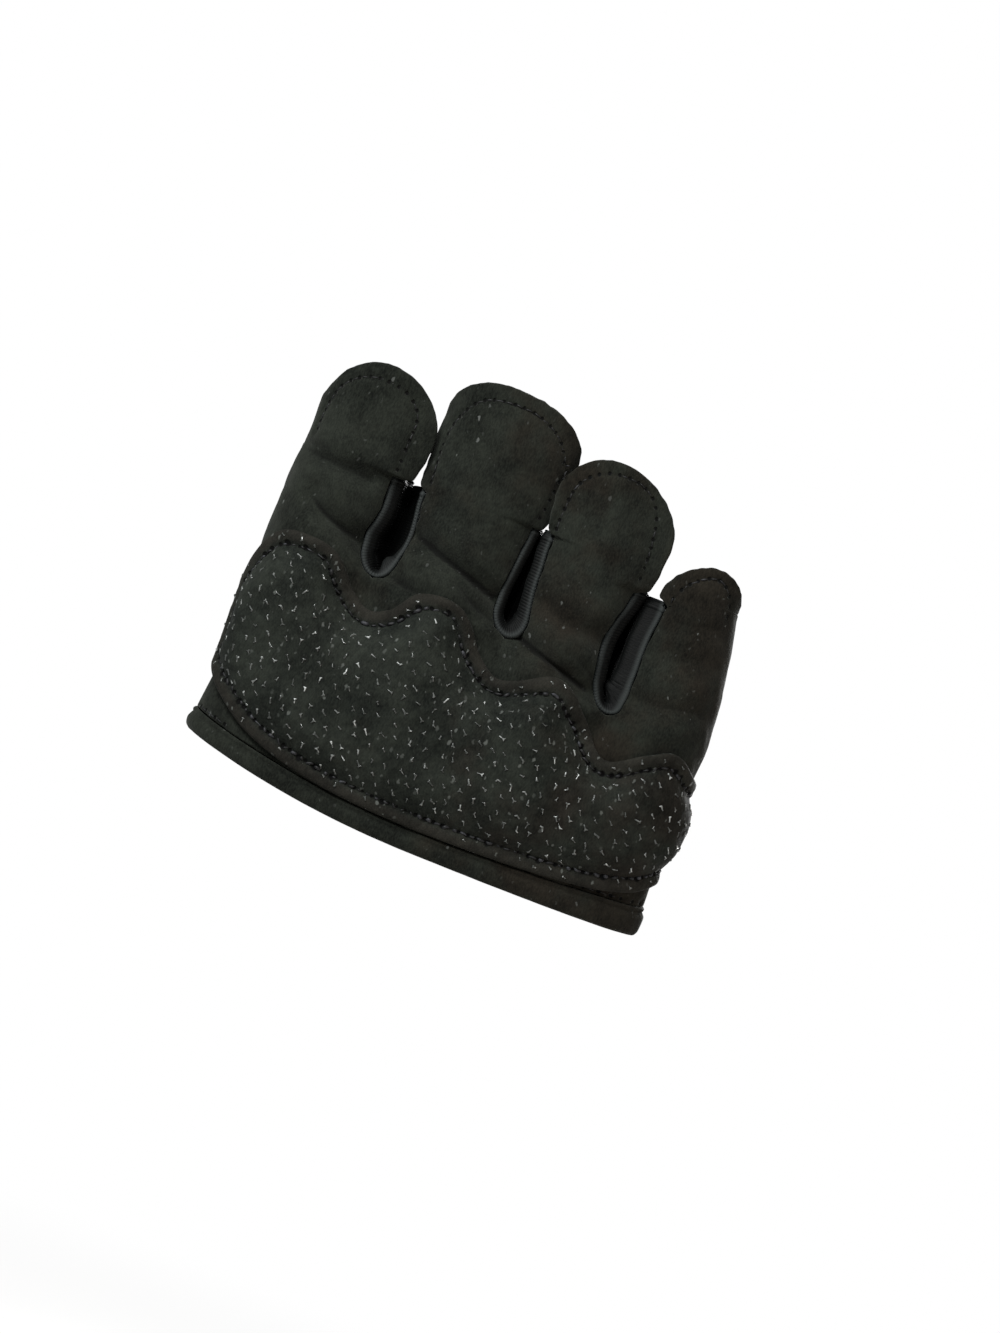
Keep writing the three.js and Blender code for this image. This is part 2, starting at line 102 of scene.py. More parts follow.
# Each slit: its bottom and its top, half its width at both, the height of its round bottom, where it
# begins on the back, and how far its walls sway on the way there
SLITS = table(
    "bottom_x bottom_z hem_x hem_z half hem_half round back_z sway",
    (-22.4, 38.2, -22.3, 54.5, 3.1, 2.9, 4.0, 36, 0.9),
    (0.9, 37.2, 0.8, 55.2, 3.1, 2.1, 4.0, 35, -0.3),
    (20.5, 31.8, 20.7, 52.2, 3.4, 2.7, 4.5, 30, -0.9),
)
# The index side, the three slits and the far side: where each divides on the palm and on the back, and
# where the finger openings end it
BOUNDS = table(
    "web_z back_z hem_z",
    (40, 38, 54.4),
    (38.2, 36, 54.5),
    (37.2, 35, 55.2),
    (31.8, 30, 52.2),
    (33, 31, 54.6),
)
# Each tab: its depth as a share of the form's; for both edges, the place and height of the shoulder, how
# far it dips there, and how soon it swings out; and its cap's height, squareness and lean
TABS = table(
    "depth left_x left_z left_dip left_bend right_x right_z right_dip right_bend cap power lean",
    (0.98, -41.0, 61.0, 8.0, 0.20, -20.8, 61.0, 2.6, 0.11, 10.1, 2.1, 0.0),
    (1.03, -21.5, 67.6, 6.3, 0.12, 2.3, 67.6, 4.6, 0.17, 7.5, 2.3, -0.5),
    (0.99, 0.8, 61.5, 1.2, 0.14, 21.2, 60.5, 2.4, 0.10, 9.3, 2.1, -1.2),
    (0.86, 21.9, 52.9, 3.4, 0.12, 35.4, 54.8, 9.0, 1.00, 6.4, 1.9, 0.6),
)
# How far each side of a slit's front opening strays from its plain form, by share of the slit's height
STRAY = table(
    "at index_0 far_0 index_1 far_1 index_2 far_2",
    (0.00, 0.35, 0.35, 0.60, 0.60, 0.70, 0.70),
    (0.12, 0.20, 0.05, 0.25, 0.25, 0.55, -0.30),
    (0.25, 0.00, 0.15, 0.05, 0.00, -0.20, -0.45),
    (0.40, -0.30, 0.60, -0.15, -0.30, -0.85, -0.40),
    (0.55, 0.20, 0.65, -0.05, -0.45, -1.15, -0.45),
    (0.70, 0.40, 0.40, 0.05, -0.40, -0.90, -0.30),
    (0.85, 0.15, 0.05, 0.15, -0.50, -0.15, 0.10),
    (1.00, 0.00, 0.00, 0.25, -0.30, 0.35, 0.30),
)
STRIPS = range(4)
print("tabs reach", TABS["left_z"] + TABS["cap"], "mm")

# %% [markdown]
# ## Smooth curves through the rows
#
# Straight lines between rows would leave ridges in the cloth. A cubic through each pair of rows, with its
# end slopes taken from the rows on either side, passes through every row and has no ridge.

# %% Curve helpers


def mix(a, b, share):
    """a at share 0, b at share 1, and the straight share between."""
    return a + (b - a) * share


def smooth(at, low, high):
    """0 below low and 1 above high, with 3t squared less 2t cubed between."""
    t = np.clip((at - low) / (high - low), 0, 1)
    return t * t * (3 - 2 * t)


def rounded(f, power):
    """Superellipse: the power-th root of 1 less f to the power, so 1 in the middle and 0 at the edges."""
    return np.maximum(0, 1 - np.abs(f) ** power) ** (1 / power)


def follow(rows, column, at, key="z"):
    """Cubic through the rows of a table: each span starts and ends with the slope of its neighbours."""
    keys, values = rows[key], rows[column]
    last = len(keys) - 1
    place = np.clip(at, keys[0], keys[-1])
    i = np.clip(np.searchsorted(keys, place, side="right") - 1, 0, last - 1)
    span = keys[i + 1] - keys[i]
    t = (place - keys[i]) / span
    low, high = np.maximum(i - 1, 0), np.minimum(i + 2, last)
    before = (values[i + 1] - values[low]) / (keys[i + 1] - keys[low]) * span
    after = (values[high] - values[i]) / (keys[high] - keys[i]) * span
    rise = values[i + 1] - values[i]
    return values[i] + t * (before + t * (3 * rise - 2 * before - after + t * (before + after - 2 * rise)))


# %% [markdown]
# ## One function for the glove's shell
#
# Every piece needs the same surface: the palm panel is it, the pad lies on it, the hem is carried round it
# and the threads follow it. So one function gives the point for a face, a strip, a share f across that
# strip and a height. Below the webs the whole section counts, above them each strip's own.

# %% The shell of the worn glove


FOLD_FADE = 6          # depth of the form over which the folds fade out towards its sides
FIND_STEPS = 12        # steps that find the share at which a place lies across a strip
FIND_REACH = 1.1       # the greatest share that a step may try
OWN_REACH = 1.02       # the greatest share that still counts as the strip's own


def slit_middle(k, z):
    """Middle line of a slit: straight from its bottom to its top."""
    foot, top = SLITS["bottom_z"][k], SLITS["hem_z"][k]
    return mix(SLITS["bottom_x"][k], SLITS["hem_x"][k], (z - foot) / (top - foot))


def slit_half(k, z, face):
    """Half the width of a slit: a quarter of an ellipse at its foot, then a straight taper to the hem."""
    foot = SLITS["bottom_z" if face == "palm" else "back_z"][k]
    opening = np.clip((z - foot) / SLITS["round"][k], 0, 1)
    taper = np.clip((z - foot) / (SLITS["hem_z"][k] - foot), 0, 1)
    full = mix(SLITS["half"][k], SLITS["hem_half"][k], taper) if face == "palm" else BACK_SLIT_HALF
    return full * np.sqrt(1 - (1 - opening) ** 2)


def stray(k, side, z):
    """Sideways stray of a slit's edge: a cubic through its column, fading out 6 mm below the slit."""
    foot = SLITS["bottom_z"][k]
    share = (z - foot) / (SLITS["hem_z"][k] - foot)
    column = ("index_" if side < 0 else "far_") + str(k)
    return follow(STRAY, column, share, key="at") * smooth(z, foot - 6, foot)


def tab_swing(i, side, z):
    """How far a tab's edge has swung out at a height: 0 at the hem and 1 at its shoulder."""
    hem = BOUNDS["hem_z"][i + (side > 0)]
    top = TABS["left_z" if side < 0 else "right_z"][i]
    return np.clip((z - hem) / (top - hem), 0, 1)


def edge_line(i, side, z, face):
    """The line that a strip's edge keeps to: the form's side or the middle of the slit, and how far beside
    it the edge lies: half the slit, its stray, then out to the tab's shoulder."""
    bound = i + (side > 0)
    low = np.minimum(z, BOUNDS["hem_z"][bound]) if face == "palm" else z
    if bound in (0, 4):
        line, beside = follow(FORM, "left" if bound == 0 else "right", low), 0 * low
    else:
        line, beside = slit_middle(bound - 1, low), -side * slit_half(bound - 1, low, face)
    if face == "back":
        return line, beside
    if bound not in (0, 4):
        beside = beside + stray(bound - 1, -side, low)
    name = "left" if side < 0 else "right"
    return line, mix(beside, TABS[name + "_x"][i] - line, tab_swing(i, side, z) ** TABS[name + "_bend"][i])


def across(i, f, z, face):
    """Sideways place at a share across a strip: straight between its two lines, and near an edge moved
    by what that edge lies beside its line, by the cube of the nearness. With the slope for a unit of f."""
    share = (f + 1) / 2
    left, left_by = edge_line(i, -1, z, face)
    right, right_by = edge_line(i, 1, z, face)
    place = mix(left, right, share) + left_by * (1 - share) ** 3 + right_by * share ** 3 + lean(i, z)
    slope = (right - left - 3 * left_by * (1 - share) ** 2 + 3 * right_by * share ** 2) / 2
    return place, slope


def edge_depth(i, side, z, face):
    """Depth of a strip's edge below its tab: none at an outer side, the two strips' mean less a dip."""
    bound = i + (side > 0)
    depth = follow(FORM, face, z)
    if bound in (0, 4):
        return 0 * depth
    dip = SEAM_DIP if face == "palm" else BACK_DIP
    return depth * (TABS["depth"][i] + TABS["depth"][i + side]) / 2 - dip


def edge_lift(i, side, z, face):
    """What a tab's edge stands higher than that, growing from the hem by a low power of its swing."""
    if face == "back":
        return 0 * z
    free = follow(FORM, face, z) * TABS["depth"][i] - TABS["left_dip" if side < 0 else "right_dip"][i]
    return (free - edge_depth(i, side, z, face)) * tab_swing(i, side, z) ** DIP_BEND


def web_at(i, f, face):
    """Height of the web at a share across a strip: straight between its two boundaries."""
    feet = BOUNDS["web_z" if face == "palm" else "back_z"]
    return mix(feet[i], feet[i + 1], (f + 1) / 2)


def opening_at(i, f):
    """Height of the finger opening's edge at a share across a strip: straight between its boundaries."""
    return mix(BOUNDS["hem_z"][i], BOUNDS["hem_z"][i + 1], (f + 1) / 2)


def is_outer(i, at):
    """Whether a share or turn lies on the glove's own outer side and not towards a slit."""
    return (i == 0) & (at < 0) | (i == 3) & (at > 0)


def bow(i, f, z, face):
    """Roundness across a strip: a superellipse towards an outer side, and towards a slit a cosine valley
    that turns into a parabola above the web."""
    web = web_at(i, f, face)
    inner = mix(0.5 + 0.5 * np.cos(np.pi * f), 1 - f * f, smooth(z, web - ROLL, web + ROLL))
    return np.where(is_outer(i, f), rounded(f, STRIP_POWER), inner)


def lean(i, z):
    """Sideways lean of a tab's cap, in a straight share above its shoulders."""
    top = (TABS["left_z"][i] + TABS["right_z"][i]) / 2
    return TABS["lean"][i] * np.clip((z - top) / TABS["cap"][i], 0, 1)


def shell(face, i, f, z):
    """Point of the shell: x is the place across the strip, and the depth goes from the palm's superellipse
    to the strip's bow, lifted at a tab's edge, over the height BLEND below the web."""
    f, z = np.broadcast_arrays(np.asarray(f, float), np.asarray(z, float))
    x, _ = across(i, f, z, face)
    form_left, form_right = follow(FORM, "left", z), follow(FORM, "right", z)
    depth = follow(FORM, face, z)
    edge = np.where(f < 0, edge_depth(i, -1, z, face), edge_depth(i, 1, z, face))
    lift = np.where(f < 0, edge_lift(i, -1, z, face), edge_lift(i, 1, z, face)) * f ** 6
    strip = edge + (depth * TABS["depth"][i] - edge) * bow(i, f, z, face) + lift
    palm = depth * rounded((2 * x - form_left - form_right) / (form_right - form_left), PALM_POWER)
    web = web_at(i, f, face)
    away = mix(palm, strip, smooth(z, web - BLEND, web))
    if face == "back":
        return np.stack([x, away, z], -1)
    folded = sum(fold_bells(x, z)) * np.minimum(1, away / FOLD_FADE)
    return np.stack([x, folded - away, z], -1)


def palm_at(x, z):
    """Points of the palm face at places x and heights z: the strip that holds x gives its share f, found
    by steps of what is missing over the slope."""
    x, z = np.asarray(x, float), np.asarray(z, float)
    found = np.zeros(x.shape + (3,))
    for i in STRIPS:
        f = np.zeros(x.shape)
        for _ in range(FIND_STEPS):
            f = np.clip(f, -FIND_REACH, FIND_REACH)
            place, slope = across(i, f, z, "palm")
            f = f + (x - place) / slope
        own = np.abs(f) <= OWN_REACH
        found[own] = shell("palm", i, np.clip(f[own], -1, 1), z[own])
    return found


def wrist_z(x, face):
    """Lower edge of the glove: two parabolas on the palm, which rise 4 mm to the index side and 0.4 mm to
    the far side, and straight across the back."""
    if face == "palm":
        return WRIST_LOW + np.where(x < 0, 4 * (x / 37) ** 2, 0.4 * (x / 38) ** 2)
    left, right = FORM["left"][1], FORM["right"][1]
    return mix(wrist_z(left, "palm"), wrist_z(right, "palm"), (x - left) / (right - left))


def hem_height(x):
    """Height of the wrist hem: its own at mid palm, and more by a power of the place to the far side."""
    return HEM_HEIGHT + HEM_WIDEN * np.maximum(0, x / FORM["right"][1]) ** 1.2


def panel_start(face, i, f):
    """Height of the hem's upper edge at shares across a strip, found at the level of the wrist edge."""
    x = shell(face, i, f, np.full(f.shape, HEM_LEVEL))[:, 0]
    return wrist_z(x, face) + hem_height(x)


# %% [markdown]
# ## Folds
#
# Wear presses folds into the suede below each tab. A fold is a soft valley with a sharp line in its bed and
# a low swell on both sides, and it runs from one place to another with a slight bend. A cloth simulation
# would put folds anywhere, and these lie where the photograph shows them.

# %% Folds of the palm panel
LINE_WIDTH = 0.45      # half width of the sharp line in a fold's bed
SWELL_SHARE = 0.3      # height of the swell beside a fold, as a share of its depth
SWELL_AWAY = 2.1       # how far from the fold it lies, in widths of the fold
FOLDS = table(
    "from_x from_z to_x to_z bend depth width line",
    (-42.0, 53.9, -28.3, 52.7, 0.3, 1.0, 1.5, 0.30),
    (-36.0, 46.5, -26.3, 42.8, 0.6, 1.1, 1.6, 0.45),
    (-17.8, 47.1, -2.6, 42.3, 0.2, 1.3, 1.7, 0.75),
    (2.4, 38.2, 16.5, 34.0, 0.1, 1.3, 1.7, 0.75),
    (6.0, 44.2, 16.5, 43.0, 0.8, 0.9, 1.8, 0.16),
    (25.0, 35.6, 36.0, 37.4, 0.1, 0.9, 1.8, 0.14),
    (-20.6, 39.6, -13.4, 38.2, 0.2, 0.45, 1.2, 0.28),
    (-40.0, 49.2, -35.5, 48.4, 0.2, 0.35, 1.3, 0.06),
    (-16.0, 52.5, -11.0, 51.0, 0.3, 0.32, 1.5, 0.05),
    (24.5, 43.5, 35.0, 45.0, -0.4, 0.38, 1.6, 0.08),
    (27.5, 49.0, 33.5, 50.5, -0.3, 0.3, 1.4, 0.05),
    (5.5, 50.0, 12.0, 49.0, 0.4, 0.28, 1.5, 0.05),
    (-8.5, 41.8, -2.0, 38.8, 0.3, 0.4, 1.0, 0.24),
    (13.0, 38.6, 18.5, 34.5, -0.4, 0.45, 1.2, 0.22),
)


def fold_bells(x, z):
    """What the folds take off in depth: a bell curve of the distance to each line, less a lower one for the
    swell beside it; and apart from that the narrow bell of the sharp line in its bed, weaker at its ends."""
    taken, line = np.zeros(np.shape(x)), np.zeros(np.shape(x))
    for k in range(len(FOLDS["depth"])):
        run_x, run_z = FOLDS["to_x"][k] - FOLDS["from_x"][k], FOLDS["to_z"][k] - FOLDS["from_z"][k]
        length = math.hypot(run_x, run_z)
        from_x, from_z = x - FOLDS["from_x"][k], z - FOLDS["from_z"][k]
        along = np.clip((from_x * run_x + from_z * run_z) / length ** 2, 0, 1)
        bent = FOLDS["bend"][k] * np.sin(np.pi * along)
        gone_x = from_x - along * run_x - bent * run_z / length
        gone_z = from_z - along * run_z + bent * run_x / length
        away = np.hypot(gone_x, gone_z)
        wide = FOLDS["width"][k]
        swell = SWELL_SHARE * np.exp(-((away - SWELL_AWAY * wide) / wide) ** 2)
        taken += FOLDS["depth"][k] * (np.exp(-(away / wide) ** 2) - swell)
        fade = 0.35 + 0.65 * np.sin(np.pi * along) ** 0.5
        line += FOLDS["line"][k] * np.exp(-(away / LINE_WIDTH) ** 2) * fade
    return taken, line


WAVES = 9


def unit(vectors):
    """Vectors over their own lengths."""
    return vectors / np.maximum(np.linalg.norm(vectors, axis=-1, keepdims=True), 1e-12)


def ripple(points, size, seed):
    """Gentle unevenness between about -1 and 1: a quarter of the sum of nine sine waves that run in seeded
    directions."""
    draw = np.random.default_rng(seed)
    heading = unit(draw.normal(size=(WAVES, 3)))
    pace = draw.uniform(0.7, 1.5, WAVES) * 2 * np.pi / size
    start = draw.uniform(0, 2 * np.pi, WAVES)
    return np.sin(points @ (heading * pace[:, None]).T + start).sum(-1) / 4


def unevenness(points, *ripples):
    """Sum of ripples, each given as its amount, its size and its seed."""
    return sum(amount * ripple(points, size, seed) for amount, size, seed in ripples)


print("palm crown", palm_at(np.array([-8.0]), np.array([25.0])).round(2))

# %% [markdown]
# ## From a surface to cloth
#
# Cloth has two faces and a cut edge. Blender's Solidify modifier gives that, but its edge is square. Here
# the surface is pushed in along its normals by the wall's thickness, and near a free edge both faces close
# in along a quarter circle, so that the cut edge of the suede catches light as the real one does.

# %% Mesh helpers


def length_along(line):
    """Length along a line of points, from 0 at its first."""
    return np.concatenate([[0], np.cumsum(np.linalg.norm(np.diff(line, axis=0), axis=1))])


def at_lengths(at, run, values):
    """Rows of values looked up at places along a run of lengths, straight between its stops."""
    return np.stack([np.interp(at, run, column) for column in values.T], -1)


def frames(along, up):
    """Unit frames of a surface: out of it, along it, and up it at a right angle to both."""
    out, ahead = unit(np.cross(along, up)), unit(along)
    return out, ahead, np.cross(out, ahead)


def outward(face, i, f, z):
    """Unit normals of the shell, out of the glove: its short steps across and up, crossed."""
    aside = shell(face, i, np.minimum(f + 0.004, 1), z) - shell(face, i, np.maximum(f - 0.004, -1), z)
    up = shell(face, i, f, z + 0.1) - shell(face, i, f, z - 0.1)
    return unit(np.cross(aside, up)) * (1 if face == "palm" else -1)


def weld(points, normals, faces):
    """One point for all that share a place to a tenth of a micrometre, with the mean of their normals."""
    _, first, number = np.unique(np.round(points, 4), axis=0, return_index=True, return_inverse=True)
    number = number.reshape(-1)
    total = np.zeros((len(first), 3))
    np.add.at(total, number, normals)
    return points[first], unit(total), number[faces]


def grid_faces(columns, rows):
    """Corner numbers of the quads between neighbouring columns and rows of a grid."""
    first = np.arange(columns - 1)[:, None] * rows + np.arange(rows - 1)
    return np.stack([first, first + rows, first + rows + 1, first + 1], -1).reshape(-1, 4)


def normals_of(points, quads):
    """Unit normal at each point: the sum of its quads' crossed diagonals."""
    cross = np.cross(points[quads[:, 2]] - points[quads[:, 0]], points[quads[:, 3]] - points[quads[:, 1]])
    total = np.zeros_like(points)
    for corner in range(4):
        np.add.at(total, quads[:, corner], cross)
    return unit(total)


def near_steps(points, start, step, chunk=1500):
    """Distance from each point to the nearest of many straight steps, which one, and the share along it."""
    squared = np.maximum((step ** 2).sum(1), 1e-12)
    gaps, which, shares = [], [], []
    for low in range(0, len(points), chunk):
        to = points[low:low + chunk, None, :] - start[None]
        t = np.clip((to * step[None]).sum(-1) / squared[None], 0, 1)
        apart = np.linalg.norm(to - t[..., None] * step[None], axis=-1)
        best = apart.argmin(1)
        row = np.arange(len(best))
        gaps.append(apart[row, best])
        which.append(best)
        shares.append(t[row, best])
    return np.concatenate(gaps), np.concatenate(which), np.concatenate(shares)


def near(points, line):
    """Distance from each point to a line of points, and the length along the line to the nearest place."""
    run = length_along(line)
    gap, which, share = near_steps(points, line[:-1], line[1:] - line[:-1])
    return gap, mix(run[which], run[which + 1], share)


def free_edges(quads, count):
    """The edges that only one quad has, each in that quad's own direction."""
    sides = np.concatenate([quads[:, [0, 1]], quads[:, [1, 2]], quads[:, [2, 3]], quads[:, [3, 0]]])
    pair = np.sort(sides, axis=1)
    _, first, times = np.unique(pair[:, 0] * count + pair[:, 1], return_index=True, return_counts=True)
    return sides[first[times == 1]]


def edge_gap(points, quads):
    """Distance from each point of a sheet to its free edge."""
    start, end = free_edges(quads, len(points)).T
    return near_steps(points, points[start], points[end] - points[start])[0]


def closed(outer, inner, quads):
    """One closed piece from the two faces of a sheet, joined round its free edge."""
    count = len(outer)
    start, end = free_edges(quads, count).T
    rim = np.stack([end, start, start + count, end + count], -1)
    return np.concatenate([outer, inner]), np.concatenate([quads, quads[:, ::-1] + count, rim])


def cloth_wall(points, normals, quads, thickness, edge_round, dent=0.0):
    """Closed cloth from one face: the outer face sinks by the dent, the inner one is a thickness behind,
    and within edge_round of a free edge both close in along a quarter circle."""
    away = np.minimum(edge_gap(points, quads), edge_round)
    sink = edge_round - np.sqrt(np.maximum(0, edge_round ** 2 - (edge_round - away) ** 2))
    outer = points - normals * (sink + dent)[:, None]
    inner = points - normals * (thickness - sink)[:, None]
    return closed(outer, inner, quads)


def add_piece(name, points, faces, material, slot, **attributes):
    """Blender mesh of points in millimetres, smooth shaded, with values for its points, on the root body."""
    mesh = bpy.data.meshes.new(name)
    faces = faces.tolist() if isinstance(faces, np.ndarray) else faces
    mesh.from_pydata((np.asarray(points) * MM).tolist(), [], faces)
    mesh.polygons.foreach_set("use_smooth", np.ones(len(mesh.polygons), bool))
    for key, values in attributes.items():
        layer = mesh.attributes.new(key, "FLOAT_VECTOR", "POINT")
        layer.data.foreach_set("vector", np.ascontiguousarray(values, np.float32).ravel())
    mesh.materials.append(material)
    mesh.update()
    piece = bpy.data.objects.new(name, mesh)
    bpy.context.scene.collection.objects.link(piece)
    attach(piece, "root")
    triangles = sum(len(p.vertices) - 2 for p in mesh.polygons)
    print(f"{name}: {len(mesh.vertices)} points, {triangles} triangles")
    return piece


# %% [markdown]
# ## Finishes
#
# All the cloth is black, so it is its texture that tells one piece from the next: brushed nap with paler
# flecks on the suede, a tight weave under the grips, shiny ribs in the gussets. Each effect that several
# materials use is a node group, and the shader itself stays in the material.

# %% Node helpers


class Net:
    """Short way to add and link shader nodes in one tree."""

    def __init__(self, tree):
        self.tree = tree

    def put(self, node, **values):
        """Links or sets a node's inputs by name, with a low line for each space in a name."""
        for name, value in values.items():
            self.fill(node.inputs[name.replace("_", " ")], value)

    def fill(self, socket, value):
        """Links an input to another node's output, or sets it to a plain value."""
        if isinstance(value, bpy.types.NodeSocket):
            self.tree.links.new(value, socket)
        else:
            socket.default_value = value

    def add(self, kind, links=None, **settings):
        """A node of that kind with its settings, and its inputs linked or set by name or number."""
        node = self.tree.nodes.new(kind)
        for name, value in settings.items():
            setattr(node, name, value)
        for key, value in (links or {}).items():
            self.fill(node.inputs[key], value)
        return node

    def math(self, operation, a, b=0.0, c=0.0, clamp=False):
        """Result of one sum on numbers or sockets."""
        node = self.add("ShaderNodeMath", {0: a, 1: b, 2: c}, operation=operation, use_clamp=clamp)
        return node.outputs[0]

    def ramp(self, value, low, high, to_low=0.0, to_high=1.0):
        """A value eased from one range to another."""
        links = {"Value": value, 1: low, 2: high, 3: to_low, 4: to_high}
        node = self.add("ShaderNodeMapRange", links, interpolation_type="SMOOTHSTEP")
        return node.outputs[0]

    def blend(self, share, a, b, how="MIX"):
        """Colour between a and b, or by another way of blending them."""
        return self.add("ShaderNodeMix", {0: share, 6: a, 7: b}, data_type="RGBA", blend_type=how).outputs[2]

    def noise(self, vector, scale, detail=2.0, rough=0.5):
        """Soft noise of that many cells a metre."""
        links = {"Vector": vector, "Scale": scale, "Detail": detail, "Roughness": rough}
        return self.add("ShaderNodeTexNoise", links).outputs["Fac"]

    def stretch(self, vector, scale, turn=(0.0, 0.0, 0.0)):
        """The coordinates scaled on each axis, then turned."""
        links = {"Vector": vector, "Scale": scale, "Rotation": turn}
        return self.add("ShaderNodeMapping", links).outputs[0]

    def stored(self, name):
        """The three numbers that the mesh keeps for each point under a name."""
        return self.add("ShaderNodeAttribute", attribute_name=name).outputs["Vector"]

    def part(self, vector, number):
        """One of the three numbers of a vector."""
        return self.add("ShaderNodeSeparateXYZ", {0: vector}).outputs[number]


def new_group(name, inputs, outputs):
    """Empty shader node group with typed inputs and outputs: the group, its net, its input node and its
    output node."""
    tree = bpy.data.node_groups.new(name, "ShaderNodeTree")
    for label, kind, value in inputs:
        socket = tree.interface.new_socket(label, in_out="INPUT", socket_type="NodeSocket" + kind)
        if value is not None:
            socket.default_value = value
    for label, kind in outputs:
        tree.interface.new_socket(label, in_out="OUTPUT", socket_type="NodeSocket" + kind)
    net = Net(tree)
    return tree, net, net.add("NodeGroupInput"), net.add("NodeGroupOutput")


# %% [markdown]
# ### Nap, lint, weave and needle holes
#
# Nap is short fibre brushed one way: a large blotch where it has been stroked, a mottle of about a
# millimetre, and fine fibres drawn out along the brushing. Lint is a few short pale specks. A weave is two
# crossed waves. Needle holes follow the seam that is stored on the mesh as length along and distance from;
# their darkness, and that of a thin line along the seam, is painted shade.

# %% Shared effects
LINT_WANDER = 0.0007   # how far a speck's outline wanders, in metres


def make_nap():
    """Colour between dark and light by three sizes of noise, and the height of the fibres."""
    inputs = (("Vector", "Vector", None), ("Dark", "Color", (0, 0, 0, 1)), ("Light", "Color", (1, 1, 1, 1)),
              ("Blotch", "Float", 0.5), ("Fibre", "Float", 0.5))
    tree, net, start, end = new_group("brushed_nap", inputs, (("Color", "Color"), ("Height", "Float")))
    place = start.outputs["Vector"]
    blotch = net.ramp(net.noise(place, 130, 2, 0.55), 0.36, 0.66)
    mottle = net.noise(place, 700, 3, 0.6)
    drawn = net.stretch(place, (1.0, 1.0, 0.38), (0, 0.35, 0))
    fibre = net.noise(drawn, 4200, 2, 0.6)
    fibre_share = net.math("MULTIPLY", net.ramp(fibre, 0.3, 0.7), start.outputs["Fibre"])
    share = net.math("MULTIPLY_ADD", blotch, start.outputs["Blotch"], fibre_share)
    share = net.math("MULTIPLY_ADD", net.ramp(mottle, 0.3, 0.7), 0.35, share)
    share = net.math("MULTIPLY", share, 0.75, clamp=True)
    colour = net.blend(share, start.outputs["Dark"], start.outputs["Light"])
    net.put(end, Color=colour, Height=net.math("MULTIPLY_ADD", mottle, 0.8, fibre))
    return tree


def make_lint():
    """1 on a few specks: the middle of a random cell, in the cells whose own number passes the limit."""
    inputs = (("Vector", "Vector", None), ("Cells", "Float", 420.0), ("Size", "Float", 0.1),
              ("Few", "Float", 0.8))
    tree, net, start, end = new_group("lint_specks", inputs, (("Mask", "Float"),))
    place = start.outputs["Vector"]
    wander = net.add("ShaderNodeTexNoise", {"Vector": place, "Scale": 1500.0}).outputs["Color"]
    reach = (LINT_WANDER, LINT_WANDER, LINT_WANDER)
    moved = net.add("ShaderNodeVectorMath", {0: wander, 1: reach}, operation="MULTIPLY").outputs[0]
    bent = net.add("ShaderNodeVectorMath", {0: place, 1: moved}, operation="ADD").outputs[0]
    drawn = net.stretch(bent, (1.0, 1.0, 0.6), (0.3, 0.5, 0))
    cell = net.add("ShaderNodeTexVoronoi", {"Vector": drawn, "Scale": start.outputs["Cells"]})
    own = net.add("ShaderNodeSeparateColor", {0: cell.outputs["Color"]})
    chosen = net.math("GREATER_THAN", own.outputs[0], start.outputs["Few"])
    size = net.math("MULTIPLY", start.outputs["Size"], net.ramp(own.outputs[1], 0, 1, 0.5, 1.3))
    apart = net.math("DIVIDE", cell.outputs["Distance"], size)
    speck = net.math("SUBTRACT", 1.0, net.ramp(apart, 0.55, 1.1))
    bright = net.math("MULTIPLY", speck, net.ramp(own.outputs[2], 0, 1, 0.25, 1.0))
    net.put(end, Mask=net.math("MULTIPLY", bright, chosen))
    return tree


def make_weave():
    """Height of a plain weave: of two crossed sine waves the one on top at a place, broken by noise."""
    inputs = (("Vector", "Vector", None), ("Threads", "Float", 2600.0))
    tree, net, start, end = new_group("tight_weave", inputs, (("Height", "Float"),))
    axes = net.add("ShaderNodeSeparateXYZ", {0: start.outputs["Vector"]})
    pace = net.math("MULTIPLY", start.outputs["Threads"], 2 * math.pi)
    aside = net.math("MULTIPLY", axes.outputs[0], pace)
    up = net.math("MULTIPLY", axes.outputs[2], pace)
    checker = net.math("MULTIPLY", net.math("SINE", net.math("MULTIPLY", aside, 0.5)),
                       net.math("SINE", net.math("MULTIPLY", up, 0.5)))
    warp = net.math("ABSOLUTE", net.math("SINE", aside))
    weft = net.math("ABSOLUTE", net.math("SINE", up))
    over = net.ramp(checker, -0.3, 0.3)
    crossed = net.math("ADD", net.math("MULTIPLY", warp, over),
                       net.math("MULTIPLY", weft, net.math("SUBTRACT", 1.0, over)))
    worn = net.math("MULTIPLY_ADD", net.noise(start.outputs["Vector"], 1800, 2), 0.9, crossed)
    net.put(end, Height=worn)
    return tree


